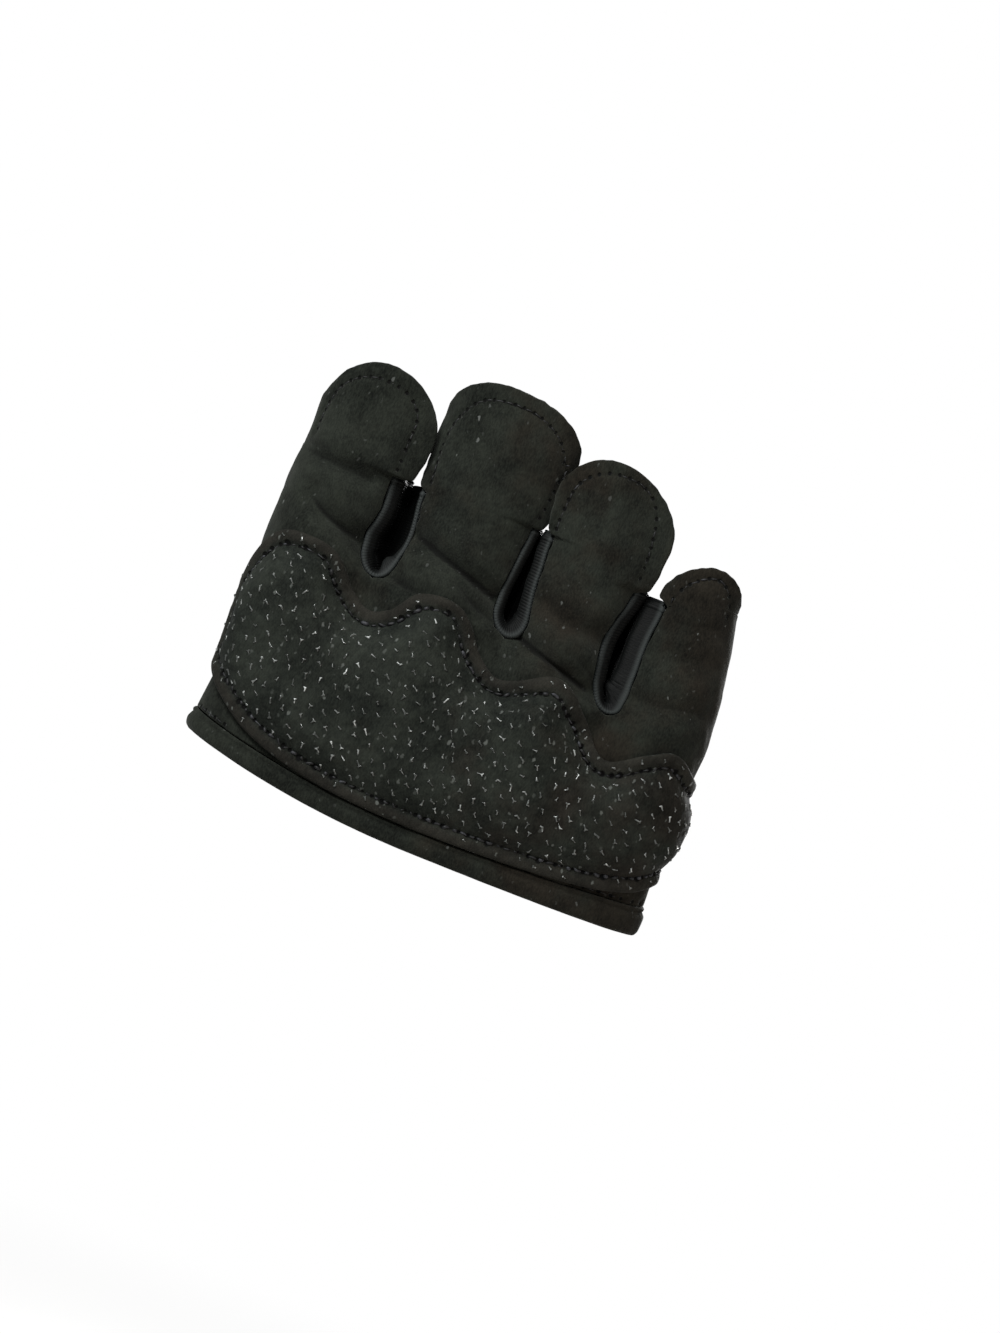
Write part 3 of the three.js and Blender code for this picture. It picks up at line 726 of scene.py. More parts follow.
def make_holes():
    """1 inside the needle holes of a seam, from (length along, distance from, pitch) in millimetres: each
    hole is a small disc near the line, a pitch after the last, with its own size. And 1 along the line."""
    inputs = (("Seam", "Vector", None), ("Radius", "Float", 0.28), ("Uneven", "Float", 0.25))
    tree, net, start, end = new_group("needle_hole_shade", inputs, (("Mask", "Float"), ("Crease", "Float")))
    parts = net.add("ShaderNodeSeparateXYZ", {0: start.outputs["Seam"]})
    pitch = parts.outputs[2]
    whole = net.math("ROUND", net.math("DIVIDE", parts.outputs[0], pitch))
    own = net.add("ShaderNodeTexWhiteNoise", {"W": whole}, noise_dimensions="1D")
    change = net.math("MULTIPLY", net.math("SUBTRACT", own.outputs["Value"], 0.5), start.outputs["Uneven"])
    middle = net.math("MULTIPLY", net.math("ADD", whole, change), pitch)
    along = net.math("SUBTRACT", parts.outputs[0], middle)
    aside = net.math("MULTIPLY_ADD", change, 0.5, parts.outputs[1])
    squared = net.math("ADD", net.math("MULTIPLY", along, along), net.math("MULTIPLY", aside, aside))
    radius = net.math("MULTIPLY", start.outputs["Radius"], net.math("MULTIPLY_ADD", change, 2.0, 1.0))
    apart = net.math("DIVIDE", net.math("SQRT", squared), radius)
    mask = net.math("SUBTRACT", 1.0, net.ramp(apart, 0.6, 1.15))
    crease = net.math("SUBTRACT", 1.0, net.ramp(net.math("ABSOLUTE", parts.outputs[1]), 0.0, 0.5))
    net.put(end, Mask=mask, Crease=crease)
    return tree


NAP, LINT, WEAVE, HOLES = make_nap(), make_lint(), make_weave(), make_holes()
print("groups:", [group.name for group in bpy.data.node_groups])

# %% Material helpers
# the black of painted shade: in needle holes, along seams and in the lines of the folds
SHADE_BLACK = (0.0016, 0.0016, 0.0016, 1)
HOLE_DEPTH = -6.0      # how far a needle hole lies below the nap, in heights of the nap


def new_material(name, **values):
    """Material with a Principled shader whose uniform values are set on its own sockets: the material, its
    net, the shader, and the coordinates of the piece."""
    material = bpy.data.materials.new(name)
    material.use_nodes = True
    net = Net(material.node_tree)
    shader = material.node_tree.nodes["Principled BSDF"]
    net.put(shader, **values)
    return material, net, shader, net.add("ShaderNodeTexCoord").outputs["Object"]


def use(net, tree, **links):
    """A placed node group with its inputs linked or set."""
    return net.add("ShaderNodeGroup", links, node_tree=tree)


def finish(net, shader, colour, height, strength, distance):
    """Links the colour, and the height through a bump, to the shader."""
    bump = net.add("ShaderNodeBump", {"Height": height, "Strength": strength, "Distance": distance})
    net.put(shader, Base_Color=colour, Normal=bump.outputs[0])


def seam_holes(net, radius, uneven, crease, colour, height):
    """Painted shade in the needle holes and along the piece's own seam line; the height is lowered in the
    holes.
    """
    holes = use(net, HOLES, Seam=net.stored("seam"), Radius=radius, Uneven=uneven)
    mask = holes.outputs["Mask"]
    shade = net.math("MULTIPLY_ADD", holes.outputs["Crease"], crease, mask, clamp=True)
    return net.blend(shade, colour, SHADE_BLACK), net.math("MULTIPLY_ADD", mask, HOLE_DEPTH, height)


def warm_side(net, place, size, sway, low, high):
    """Share of painted warm light: 0 at the index side and 1 at the far side, between two places across,
    with an edge that wanders by noise."""
    patch = net.math("SUBTRACT", net.noise(place, size, 3, 0.6), 0.5)
    return net.ramp(net.math("MULTIPLY_ADD", patch, sway, net.part(place, 0)), low, high)


def flecked(net, colour, mask, share, fleck):
    """The colour with pale flecks laid over it where a mask says, in a share of the fleck's own colour."""
    return net.blend(net.math("MULTIPLY", mask, share), colour, fleck)


# %% [markdown]
# ### The suede
#
# Micro-suede is matt and slightly green in cool light, with a pale bloom at grazing angles, which is what
# sheen is for. It is browner towards the far side by painted warm light, and its fold lines and needle holes
# are darkened by painted shade.

# %% Suede
TAB_PITCH = 1.7        # pitch of the stitches on the tabs and round the back
HEM_PITCH = 2.35       # above the hem
PAD_PITCH = 1.5        # and on the patch


def make_suede():
    """Matt black nap with green-grey and brown patches and pale lint; painted warm light towards the far
    side, and painted shade in the fold lines and in its seams' holes.
    """
    material, net, shader, place = new_material(
        "micro_suede", Roughness=0.95, Specular_IOR_Level=0.07, Sheen_Weight=0.05, Sheen_Roughness=0.5,
        Sheen_Tint=(0.80, 0.84, 0.76, 1))
    cool = use(net, NAP, Vector=place, Dark=(0.0018, 0.0023, 0.0019, 1), Light=(0.0137, 0.0160, 0.0125, 1),
               Blotch=0.55, Fibre=0.65)
    warm = use(net, NAP, Vector=place, Dark=(0.0023, 0.0020, 0.0014, 1), Light=(0.0130, 0.0113, 0.0083, 1),
               Blotch=0.55, Fibre=0.65)
    # painted warm light: the nap turns browner towards the far side
    share = warm_side(net, place, 75, 0.22, -0.012, 0.046)
    colour = net.blend(share, cool.outputs["Color"], warm.outputs["Color"])
    # painted shade in the sharp line in the bed of each fold
    bed = net.ramp(net.part(net.stored("fold"), 0), 0.04, 0.4, 0.0, 0.8)
    colour = net.blend(bed, colour, SHADE_BLACK)
    lint = use(net, LINT, Vector=place, Cells=480.0, Size=0.115, Few=0.42).outputs["Mask"]
    fluff = use(net, LINT, Vector=place, Cells=1050.0, Size=0.18, Few=0.6).outputs["Mask"]
    fleck = net.math("MULTIPLY_ADD", fluff, 0.3, lint, clamp=True)
    colour = flecked(net, colour, fleck, 0.5, (0.130, 0.138, 0.132, 1))
    height = net.math("MULTIPLY_ADD", lint, 0.6, cool.outputs["Height"])
    # painted shade in the needle holes and along the seams
    colour, height = seam_holes(net, 0.36, 0.2, 0.25, colour, height)
    finish(net, shader, colour, height, 0.6, 0.00014)
    return material


SUEDE_FINISH = make_suede()
print("suede made")

# %% [markdown]
# ### The cloth under the grips, and the stretch back
#
# The patch is a smoother, tighter cloth than the palm, so it is a little shinier. Its rim is browner and a
# little paler, the paler part painted light on the raised rim, and the cloth is browner to the far side by
# painted warm light. The back is a fine stretch knit with the softest sheen of the three.

# %% Grip cloth and stretch cloth


def make_grip_cloth():
    """Tight weave with faint nap and pale flecks, shinier than suede; painted warm light to the far side, a
    browner rim paled by painted light, and painted shade in its seam's holes.
    """
    material, net, shader, place = new_material(
        "grip_cloth", Roughness=0.8, Specular_IOR_Level=0.06, Sheen_Weight=0.03, Sheen_Roughness=0.4,
        Sheen_Tint=(0.78, 0.84, 0.8, 1))
    cool = use(net, NAP, Vector=place, Dark=(0.0030, 0.0040, 0.0034, 1), Light=(0.0208, 0.0242, 0.0196, 1),
               Blotch=0.5, Fibre=0.45)
    warm = use(net, NAP, Vector=place, Dark=(0.0032, 0.0030, 0.0023, 1), Light=(0.0180, 0.0163, 0.0131, 1),
               Blotch=0.5, Fibre=0.45)
    # the rim outside the seam: browner, and paled by painted light where it stands up
    rim = net.ramp(net.part(net.stored("seam"), 1), -1.2, 0.2, 0.8, 0.0)
    # painted warm light towards the far side, and the browner rim
    share = net.math("MAXIMUM", warm_side(net, place, 90, 0.16, 0.0, 0.052), rim)
    nap = net.blend(share, cool.outputs["Color"], warm.outputs["Color"])
    nap = flecked(net, nap, rim, 0.12, (0.034, 0.033, 0.028, 1))
    weave = use(net, WEAVE, Vector=place, Threads=2400.0).outputs["Height"]
    shade = net.ramp(weave, 0.5, 1.6, 0.7, 1.2)
    grey = net.add("ShaderNodeCombineColor", {0: shade, 1: shade, 2: shade}).outputs[0]
    woven = net.blend(1.0, nap, grey, "MULTIPLY")
    fluff = use(net, LINT, Vector=place, Cells=780.0, Size=0.19, Few=0.15).outputs["Mask"]
    colour = flecked(net, woven, fluff, 0.5, (0.12, 0.13, 0.12, 1))
    height = net.math("MULTIPLY_ADD", weave, 0.7, cool.outputs["Height"])
    colour, height = seam_holes(net, 0.38, 0.7, 0.3, colour, height)
    finish(net, shader, colour, height, 0.5, 0.00010)
    return material


def make_stretch_cloth():
    """Fine knit: a tight weave drawn out upwards, with a soft sheen."""
    material, net, shader, place = new_material(
        "stretch_cloth", Roughness=0.82, Specular_IOR_Level=0.12, Sheen_Weight=0.06, Sheen_Roughness=0.35,
        Sheen_Tint=(0.8, 0.84, 0.82, 1))
    nap = use(net, NAP, Vector=place, Dark=(0.0045, 0.0050, 0.0045, 1), Light=(0.0120, 0.0132, 0.0120, 1),
              Blotch=0.35, Fibre=0.3)
    weave = use(net, WEAVE, Vector=net.stretch(place, (1, 1, 0.6)), Threads=1700.0).outputs["Height"]
    lint = use(net, LINT, Vector=place, Cells=300.0, Size=0.07, Few=0.8).outputs["Mask"]
    shade = net.ramp(weave, 0.4, 1.7)
    colour = flecked(net, nap.outputs["Color"], shade, 0.6, (0.017, 0.0185, 0.0175, 1))
    colour = flecked(net, colour, lint, 0.4, (0.13, 0.138, 0.132, 1))
    height = net.math("MULTIPLY_ADD", weave, 1.2, nap.outputs["Height"])
    colour, height = seam_holes(net, 0.3, 0.15, 0.25, colour, height)
    finish(net, shader, colour, height, 0.6, 0.00012)
    return material


GRIP_CLOTH, STRETCH_CLOTH = make_grip_cloth(), make_stretch_cloth()
print("cloths made")

# %% [markdown]
# ### The ribs, the thread and the grips
#
# A rib of the gusset is smooth yarn; its pale crests and black between ribs are painted light and shade, and
# it is darkened by painted shade beyond its lip and most deep in the slit. Thread is twisted, a paler bluish
# grey in places. Silicone is clear gloss on black cloth, paler on some grips, partly milky print and partly
# painted glint.

# %% Rib knit, thread and silicone


def make_rib_knit():
    """Yarn: painted pale on the crest of each rib and black between ribs as painted shade, fine strands
    along the rib, and painted light on the turned front edge with painted shade beyond it, darkest deep in
    the slit."""
    material, net, shader, _ = new_material(
        "rib_knit", Roughness=0.6, Specular_IOR_Level=0.07, Sheen_Weight=0.02, Sheen_Roughness=0.3,
        Sheen_Tint=(0.85, 0.88, 0.88, 1))
    rib = net.stored("rib")
    strand = net.noise(net.stretch(rib, (6.0, 1.6, 0.0)), 1.0, 3, 0.6)
    loops = net.noise(net.stretch(rib, (1.8, 4.5, 0.0)), 1.0, 2, 0.5)
    # painted shade of the slit: none on the lip, more beyond it, darkest deep in the slit
    rubbed = net.ramp(net.part(net.stored("rubbed"), 0), 0.0, 1.0, 0.06, 1.0)
    broken = net.math("MULTIPLY_ADD", strand, 0.3, -0.15)
    # painted highlight on the crests and painted shade between the ribs
    share = net.math("MULTIPLY_ADD", net.part(rib, 2), 1.15, broken)
    share = net.math("MULTIPLY", share, rubbed, clamp=True)
    colour = net.blend(share, (0.0008, 0.0010, 0.0010, 1), (0.029, 0.0335, 0.033, 1))
    height = net.math("MULTIPLY_ADD", loops, 0.7, strand)
    finish(net, shader, colour, height, 0.5, 0.00012)
    return material


def make_thread():
    """Twisted black polyester, slightly glossy, paler bluish grey in the twist, more on some stitches."""
    material, net, shader, place = new_material("sewing_thread", Roughness=0.55, Specular_IOR_Level=0.25)
    twist = net.noise(place, 5200, 2)
    patch = net.ramp(net.noise(place, 700, 1), 0.45, 0.62, 0.25, 1.0)
    dusty = net.part(net.stored("dusty"), 0)
    share = net.math("MULTIPLY", net.math("MULTIPLY", twist, patch), dusty)
    colour = net.blend(share, (0.0018, 0.0020, 0.0022, 1), (0.060, 0.062, 0.072, 1))
    finish(net, shader, colour, twist, 0.6, 0.00008)
    return material


def make_grip():
    """Silicone: glossy over the black cloth, paler on some grips by their own number and in patches by
    noise;
    the paleness is partly milky print and partly painted glint."""
    material, net, shader, place = new_material("silicone_grip", Specular_IOR_Level=0.6)
    milky = net.part(net.stored("milky"), 0)
    patchy = net.ramp(net.noise(place, 1700, 2), 0.46, 0.60)
    share = net.math("MULTIPLY", milky, net.math("MULTIPLY_ADD", patchy, 0.9, 0.1))
    colour = net.blend(share, (0.020, 0.023, 0.020, 1), (0.38, 0.40, 0.39, 1))
    net.put(shader, Roughness=net.ramp(net.noise(place, 500, 2), 0.3, 0.7, 0.15, 0.4))
    finish(net, shader, colour, net.noise(place, 3000, 2), 0.25, 0.00008)
    return material


RIB_KNIT, THREAD, GRIP = make_rib_knit(), make_thread(), make_grip()
print("materials:", [material.name for material in bpy.data.materials])

# %% [markdown]
# ## The palm panel
#
# The palm is cut from one piece of suede, wraps round both outer sides to a seam on the back, and ends in
# four round tabs. Each strip is a grid of columns across and rows up, close together where the cloth curves
# or ends, and the grids are welded where they meet below the slits.

# %% Rows and columns of a panel
ACROSS = 56            # columns across a strip
WRAP_COLUMNS = 12      # columns of the suede that wraps round behind an outer strip
EVENING = 0.35         # how far the columns towards a slit are evened out


def close_at_ends(steps, low, high):
    """Shares from 0 to 1: each step is 1 less low times the fourth power of a cosine, which is 1 at the
    start, and less high times that of a sine, which is 1 at the end."""
    turn = (np.arange(steps) + 0.5) / steps * np.pi / 2
    size = 1 - low * np.cos(turn) ** 4 - high * np.sin(turn) ** 4
    return np.concatenate([[0], np.cumsum(size)]) / size.sum()


def across_shares(i, turns):
    """Shares across a strip: the sine of the turn, and towards a slit a third of the way from that to the
    turn itself, so that no column is a sliver."""
    f = np.sin(np.radians(turns))
    return np.where(is_outer(i, turns), f, mix(f, turns / 90, EVENING))


def column_grid(face, of, i, turns, shares):
    """Points and normals over columns at those turns and over the rows: from the wrist hem to the web, on
    to the finger opening, and on the palm to the top of the tab."""
    f = across_shares(i, turns)
    wrapped = face != of
    share = np.sign(f) if wrapped else f
    start = panel_start(face, i, f) + SEAM_GAP
    web, hem = web_at(i, share, of), opening_at(i, share)
    shoulders = mix(TABS["left_z"][i], TABS["right_z"][i], (f + 1) / 2)
    top = shoulders + TABS["cap"][i] * rounded(f, TABS["power"][i])
    start, web, hem, top = (level[:, None] for level in (start, web, hem, top))
    levels = [mix(start, web, shares[0]), mix(web, hem, shares[1][1:])]
    if of == "palm" and not wrapped:
        levels.append(mix(hem, top, shares[2][1:]))
    z = np.concatenate(levels, 1)
    return shell(face, i, f[:, None], z), outward(face, i, f[:, None], z)


def join_grids(grids, flip=False):
    """One set of points, normals and quads from several grids, welded where they share an edge."""
    points, normals, faces, count = [], [], [], 0
    for grid, out in grids:
        columns, rows = grid.shape[:2]
        faces.append(grid_faces(columns, rows) + count)
        points.append(grid.reshape(-1, 3))
        normals.append(out.reshape(-1, 3))
        count += columns * rows
    points, normals, faces = weld(np.concatenate(points), np.concatenate(normals), np.concatenate(faces))
    return points, normals, faces[:, ::-1] if flip else faces


# %% [markdown]
# ### Seams on the suede
#
# Each tab is edged with a row of lockstitch. The needle presses a shallow trough along the row, and in it
# each stitch shows as a short thread between two holes. The rows are places read off the palm, with a
# smooth curve through them.

# %% Stitch rows of the tabs, as places across and heights
TAB_ROWS = (
    ((-24.8, 55.6), (-24.8, 60.0), (-25.0, 64.8), (-27.4, 67.4), (-31.0, 68.3), (-35.2, 67.8),
     (-38.6, 65.0), (-39.7, 60.5), (-39.8, 56.2)),
    ((-19.3, 55.9), (-19.7, 60.5), (-19.3, 66.6), (-16.6, 71.0), (-12.4, 72.4), (-7.0, 72.3),
     (-2.4, 70.2), (0.0, 66.2), (-0.1, 60.5), (-0.7, 56.2)),
    ((2.5, 56.4), (2.5, 59.0), (3.2, 64.6), (6.4, 67.6), (10.6, 68.4), (14.2, 67.6), (16.8, 64.6),
     (18.0, 59.4), (18.2, 53.8)),
    ((24.1, 52.0), (24.3, 53.4), (25.8, 56.1), (28.6, 58.3), (31.0, 58.4), (33.0, 56.4), (33.8, 53.0)),
)
WRAP_SEAM = 8          # degrees that the seam on the wrapped suede lies behind the side seam
WRAP_LOW = 9           # height at which it starts
WRAP_STOP = 1.5        # how far below the finger opening it ends
OPENING_SEAM = 2.2     # distance of a finger opening's seam from its edge
HEM_SEAM = 0.7         # distance of the hem's seam from the hem, on the palm
BACK_HEM_SEAM = 0.8    # and on the back
NO_SEAM = 99.0         # what is stored where no seam is near


def through(places, step=0.3):
    """Smooth line through places: a cubic for each coordinate over the straight length, at even steps."""
    places = np.array(places, float)
    length = length_along(places)
    at = np.linspace(0, length[-1], int(length[-1] / step) + 1)
    rows = {"at": length, **{k: places[:, k] for k in range(places.shape[1])}}
    return np.stack([follow(rows, k, at, key="at") for k in range(places.shape[1])], -1)


def palm_line(places, pitch):
    """A seam on the palm: its points, their outward normals, the length along it and its pitch."""
    x, z = places.T
    step = 0.25
    points = palm_at(x, z)
    aside = palm_at(x + step, z) - palm_at(x - step, z)
    up = palm_at(x, z + step) - palm_at(x, z - step)
    return points, frames(aside, up)[0], length_along(points), pitch


def back_line(i, f, z, pitch):
    """A seam on the back at shares f and heights z of a strip, with its normals, length and pitch."""
    points = shell("back", i, f, z)
    aside = shell("back", i, f + 0.01, z) - shell("back", i, f - 0.01, z)
    up = shell("back", i, f, z + 0.3) - shell("back", i, f, z - 0.3)
    return points, frames(up, aside)[0], length_along(points), pitch


def wrap_line(i):
    """Seam on the suede of the back, upwards along the side seam of an outer strip."""
    side, bound = (-1, 0) if i == 0 else (1, 4)
    z = np.linspace(WRAP_LOW, BOUNDS["hem_z"][bound] - WRAP_STOP, 120)
    return back_line(i, np.full(z.shape, side * math.sin(math.radians(SEAM_TURN + WRAP_SEAM))), z, TAB_PITCH)


def opening_line(i):
    """Seam along the back of a finger opening."""
    f = np.linspace(-0.97, 0.97, 60)
    return back_line(i, f, opening_at(i, f) - OPENING_SEAM, TAB_PITCH)


def hem_line(low, high):
    """Seam on the palm just above the hem, between two places across."""
    x = np.linspace(low, high, 60)
    return palm_line(np.stack([x, wrist_z(x, "palm") + hem_height(x) + HEM_SEAM], -1), HEM_PITCH)


def back_hem_line(i):
    """The same seam on the back, over one strip's share of it."""
    f = np.linspace(-0.7 if i == 0 else -1, 0.7 if i == 3 else 1, 40)
    return back_line(i, f, panel_start("back", i, f) + BACK_HEM_SEAM, HEM_PITCH)


def seam_values(points, lines):
    """Length along the nearest of several seams, the distance from it and its pitch, for each point."""
    seam = np.full((len(points), 3), NO_SEAM)
    for line, _, _, pitch in lines:
        gap, run = near(points, line)
        closer = gap < seam[:, 1]
        seam[closer] = np.stack([run, gap, np.full(len(gap), pitch)], -1)[closer]
    return seam


def outside_only(values, inside):
    """Values for the outer face's points, and one value for all the numbers of the inner face's."""
    return np.concatenate([values, np.full(values.shape, inside)])


def trough(seam, depth, width):
    """Trough that a row of stitches presses in: a bell curve across it, deeper at each hole."""
    at_hole = 0.5 + 0.5 * np.cos(2 * np.pi * seam[:, 0] / seam[:, 2])
    return depth * np.exp(-(seam[:, 1] / width) ** 2) * (0.7 + 0.6 * at_hole)


suede_lines = [palm_line(through(places), TAB_PITCH) for places in TAB_ROWS]
suede_lines += [wrap_line(i) for i in (0, 3)]
suede_lines += [hem_line(-40.6, -34.5), hem_line(26.0, 38.2)]
print("seams on the suede:", [f"{run[-1]:.0f} mm" for _, _, run, _ in suede_lines])

# %% Palm panel
PALM_SHARES = (close_at_ends(72, 0.75, 0.3), close_at_ends(48, 0.8, 0.0), close_at_ends(38, 0.75, 0.85))
TROUGH_WIDTH = 0.7     # half width of the trough that a seam presses in
SUEDE_TROUGH = 0.26    # its depth in the suede
STRETCH_TROUGH = 0.22  # and in the stretch cloth


def frayed(points, quads, amount, size, seed):
    """Points near a free edge moved sideways and up by short waves, so that the cut edge isn't ruled."""
    nearness = amount * (1 - smooth(edge_gap(points, quads), 0.1, 1.3))
    waves = np.stack([ripple(points, size, seed), 0 * nearness, ripple(points, size, seed + 1)], -1)
    return points + waves * nearness[:, None]


def palm_panel():
    """The palm's surface with its unevenness and the troughs of its seams, made into a wall of suede."""
    turns = np.linspace(-90, 90, ACROSS + 1)
    grids = [column_grid("palm", "palm", i, turns, PALM_SHARES) for i in STRIPS]
    index_side = np.linspace(-SEAM_TURN, -90, WRAP_COLUMNS + 1)
    far_side = np.linspace(90, SEAM_TURN, WRAP_COLUMNS + 1)
    grids.append(column_grid("back", "palm", 0, index_side, PALM_SHARES))
    grids.append(column_grid("back", "palm", 3, far_side, PALM_SHARES))
    points, normals, quads = join_grids(grids)
    seam = seam_values(points, suede_lines)
    # strength of each fold's sharp line, kept on the mesh for the painted shade in the suede
    fold = np.zeros(points.shape)
    _, fold[:, 0] = fold_bells(points[:, 0], points[:, 2])
    fold[points[:, 1] > 0] = 0
    rough = unevenness(points, (0.13, 9, 11), (0.06, 3.5, 12))
    points = frayed(points, quads, 0.07, 1.6, 61) + normals * rough[:, None]
    dent = trough(seam, SUEDE_TROUGH, TROUGH_WIDTH)
    solid, faces = cloth_wall(points, normals, quads, SUEDE, SUEDE_ROUND, dent)
    return solid, faces, outside_only(seam, NO_SEAM), outside_only(fold, 0.0)


solid, faces, seam, fold = palm_panel()
palm = add_piece("palm_suede", solid, faces, SUEDE_FINISH, "suede", seam=seam, fold=fold)
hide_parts("palm_panel")

# %% [markdown]
# ## The back panel
#
# The back is plain stretch cloth, hidden in the photograph, so it is finished simply: one panel whose side
# edges tuck under the suede, with a sewn hem at each finger opening.

# %% Back panel
BACK_SHARES = (close_at_ends(54, 0.7, 0.2), close_at_ends(40, 0.7, 0.7))
TUCK = 9               # degrees that the back runs on under the suede
TUCK_DEPTH = 1.5       # how deep it lies there
back_lines = [opening_line(i) for i in STRIPS] + [back_hem_line(i) for i in STRIPS]


def back_panel():
    """The back's surface, tucked in at both sides, made into a wall of stretch cloth."""
    grids = []
    for i in STRIPS:
        low = -SEAM_TURN - TUCK if i == 0 else -90
        high = SEAM_TURN + TUCK if i == 3 else 90
        turns = np.linspace(low, high, ACROSS + 1)
        grid, out = column_grid("back", "back", i, turns, BACK_SHARES)
        tuck = smooth(np.abs(turns), SEAM_TURN - 4.5, SEAM_TURN - 0.5) * is_outer(i, turns)
        grids.append((grid - out * (TUCK_DEPTH * tuck)[:, None, None], out))
    points, normals, quads = join_grids(grids, flip=True)
    seam = seam_values(points, back_lines)
    rough = unevenness(points, (0.12, 11, 21), (0.05, 4, 22))
    points = points + normals * rough[:, None]
    dent = trough(seam, STRETCH_TROUGH, TROUGH_WIDTH)
    solid, faces = cloth_wall(points, normals, quads, STRETCH, STRETCH_ROUND, dent)
    return solid, faces, outside_only(seam, NO_SEAM)


solid, faces, seam = back_panel()
back = add_piece("back_stretch", solid, faces, STRETCH_CLOTH, "stretch_cloth", seam=seam)
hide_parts("back_panel")

# %% [markdown]
# ## The padded patch
#
# A thin foam patch in its own cloth is sewn down inside a narrow rim, so the rim stands up as a soft edge,
# the seam is a ditch, and the middle swells. The patch is laid out flat, as length round the palm against
# height, because distances to its wavy outline and to its seam are true there.

# %% Outline of the patch
PAD_TOP = table(
    "u z",
    (-41.6, 28.5), (-40.9, 34.0), (-38.6, 39.0), (-33.5, 40.5), (-28.0, 39.0), (-24.2, 34.8), (-20.5, 32.8),
    (-17.0, 34.2), (-14.0, 37.9), (-9.3, 39.3), (-5.0, 37.4), (-1.5, 32.8), (3.2, 30.3), (11.6, 33.7),
    (17.3, 30.4), (23.5, 24.7), (29.7, 28.0), (34.0, 29.8), (38.3, 26.9), (40.7, 24.9), (42.2, 22.4),
    (43.0, 19.3),
)
PAD_BOTTOM = table(
    "u z",
    (-41.6, 17.0), (-40.4, 14.4), (-38.2, 11.8), (-31.5, 7.5), (-21.5, 4.6), (-10.0, 3.3), (4.0, 3.1),
    (18.0, 3.7), (29.0, 4.8), (35.5, 6.5), (38.3, 8.4), (40.7, 10.6), (42.2, 13.2), (43.0, 16.4),
)
PAD_START = -79        # the patch's index end, in degrees round the index side
PAD_END = 75           # its far end, in degrees round the far side, on the back
PAD_ACROSS = 56        # columns of the patch over each strip
PAD_BEHIND = 9         # its last columns, from the far side round to the back
PAD_LIFT = 0.06        # clearance to the suede
PAD_RIM = 2.3          # from the edge to the seam
PAD_SWELL = 5.5        # from the seam to the full thickness
PAD_LAYOUT_Z = 20.0    # height at which the patch is laid out flat
PAD_ROWS = 70


def pad_columns():
    """Columns of the patch as (face, strip, share across), from its index end round to its far end."""
    columns = []
    for i in STRIPS:
        turns = np.linspace(PAD_START if i == 0 else -90, 90, PAD_ACROSS)
        columns += [("palm", i, f) for f in np.sin(np.radians(turns if i == 0 else turns[1:]))]
    turns = np.linspace(90, PAD_END, PAD_BEHIND)
    return columns + [("back", 3, f) for f in np.sin(np.radians(turns[1:]))]


def on_columns(columns, z):
    """Shell points for each column at heights z, one row of heights for each column."""
    found = np.zeros(z.shape + (3,))
    face, strip, f = (np.array(values) for values in zip(*columns))
    for name in ("palm", "back"):
        for i in STRIPS:
            own = (face == name) & (strip == i)
            if own.any():
                found[own] = shell(name, i, f[own][:, None], z[own])
    return found


def outline_z(outline, columns):
    """Height at which each column crosses an outline, by looking it up again at the place it gave."""
    z = np.full((len(columns), 1), outline["z"][len(outline["z"]) // 2])
    behind = np.array([face == "back" for face, _, _ in columns])[:, None]
    for _ in range(5):
        p = on_columns(columns, z)
        u = np.where(behind, follow(FORM, "right", z) + p[..., 1], p[..., 0])
        z = follow(outline, "z", u, key="u")
    return z


columns = pad_columns()
pad_low, pad_high = outline_z(PAD_BOTTOM, columns), outline_z(PAD_TOP, columns)
PAD_SHARES = close_at_ends(PAD_ROWS, 0.6, 0.6)
pad_z = mix(pad_low, pad_high, PAD_SHARES[None])
pad_base = on_columns(columns, pad_z)
level = on_columns(columns, np.full((len(columns), 1), PAD_LAYOUT_Z))[:, 0]
pad_u = length_along(level)
pad_u -= np.interp(0, level[:-PAD_BEHIND, 0], pad_u[:-PAD_BEHIND])
flat = np.stack([np.broadcast_to(pad_u[:, None], pad_z.shape), pad_z], -1)
print(f"patch: {pad_u[-1] - pad_u[0]:.1f} mm round the palm")

# %% Seam of the patch, and its swell
EDGE_THICK = 0.72      # thickness of the patch at its edge
SEAM_THICK = 0.36      # thickness in the ditch of its seam
RIM_SWELL = 0.45       # what the rim swells between the two
PAD_CROWN = 2.24       # what the padding adds at its full height
HOLE_PULL = 0.14       # how much tighter the seam is pulled at a hole than between two


def ring_of(grid):
    """The outer ring of a grid as one closed line: bottom, far end, top and index end."""
    return np.concatenate([grid[:, 0], grid[-1, 1:], grid[::-1, -1][1:], grid[0, ::-1][1:]])


def inset(ring, distance):
    """A closed line moved in by a distance, less the places that come nearer to the ring than that, then
    evened out: each point moves along the left normal of its step."""
    way = unit(np.roll(ring[:-1], -1, 0) - np.roll(ring[:-1], 1, 0))
    moved = ring[:-1] + distance * np.stack([-way[:, 1], way[:, 0]], -1)
    gap, _ = near(moved, ring)
    moved = moved[gap > distance * 0.985]
    moved = np.concatenate([moved, moved[:1]])
    run = length_along(moved)
    line = at_lengths(np.linspace(0, run[-1], int(run[-1] / 0.25)), run, moved)[:-1]
    for _ in range(12):
        line = (np.roll(line, 1, 0) + 2 * line + np.roll(line, -1, 0)) / 4
    return np.concatenate([line, line[:1]])


pad_ring = ring_of(flat)
pad_line = inset(pad_ring, PAD_RIM)
places = flat.reshape(-1, 2)
pad_away, _ = near(places, pad_ring)
_, pad_run = near(places, pad_line)
pad_seam = np.stack([pad_run, pad_away - PAD_RIM, np.full(len(pad_run), PAD_PITCH)], -1)


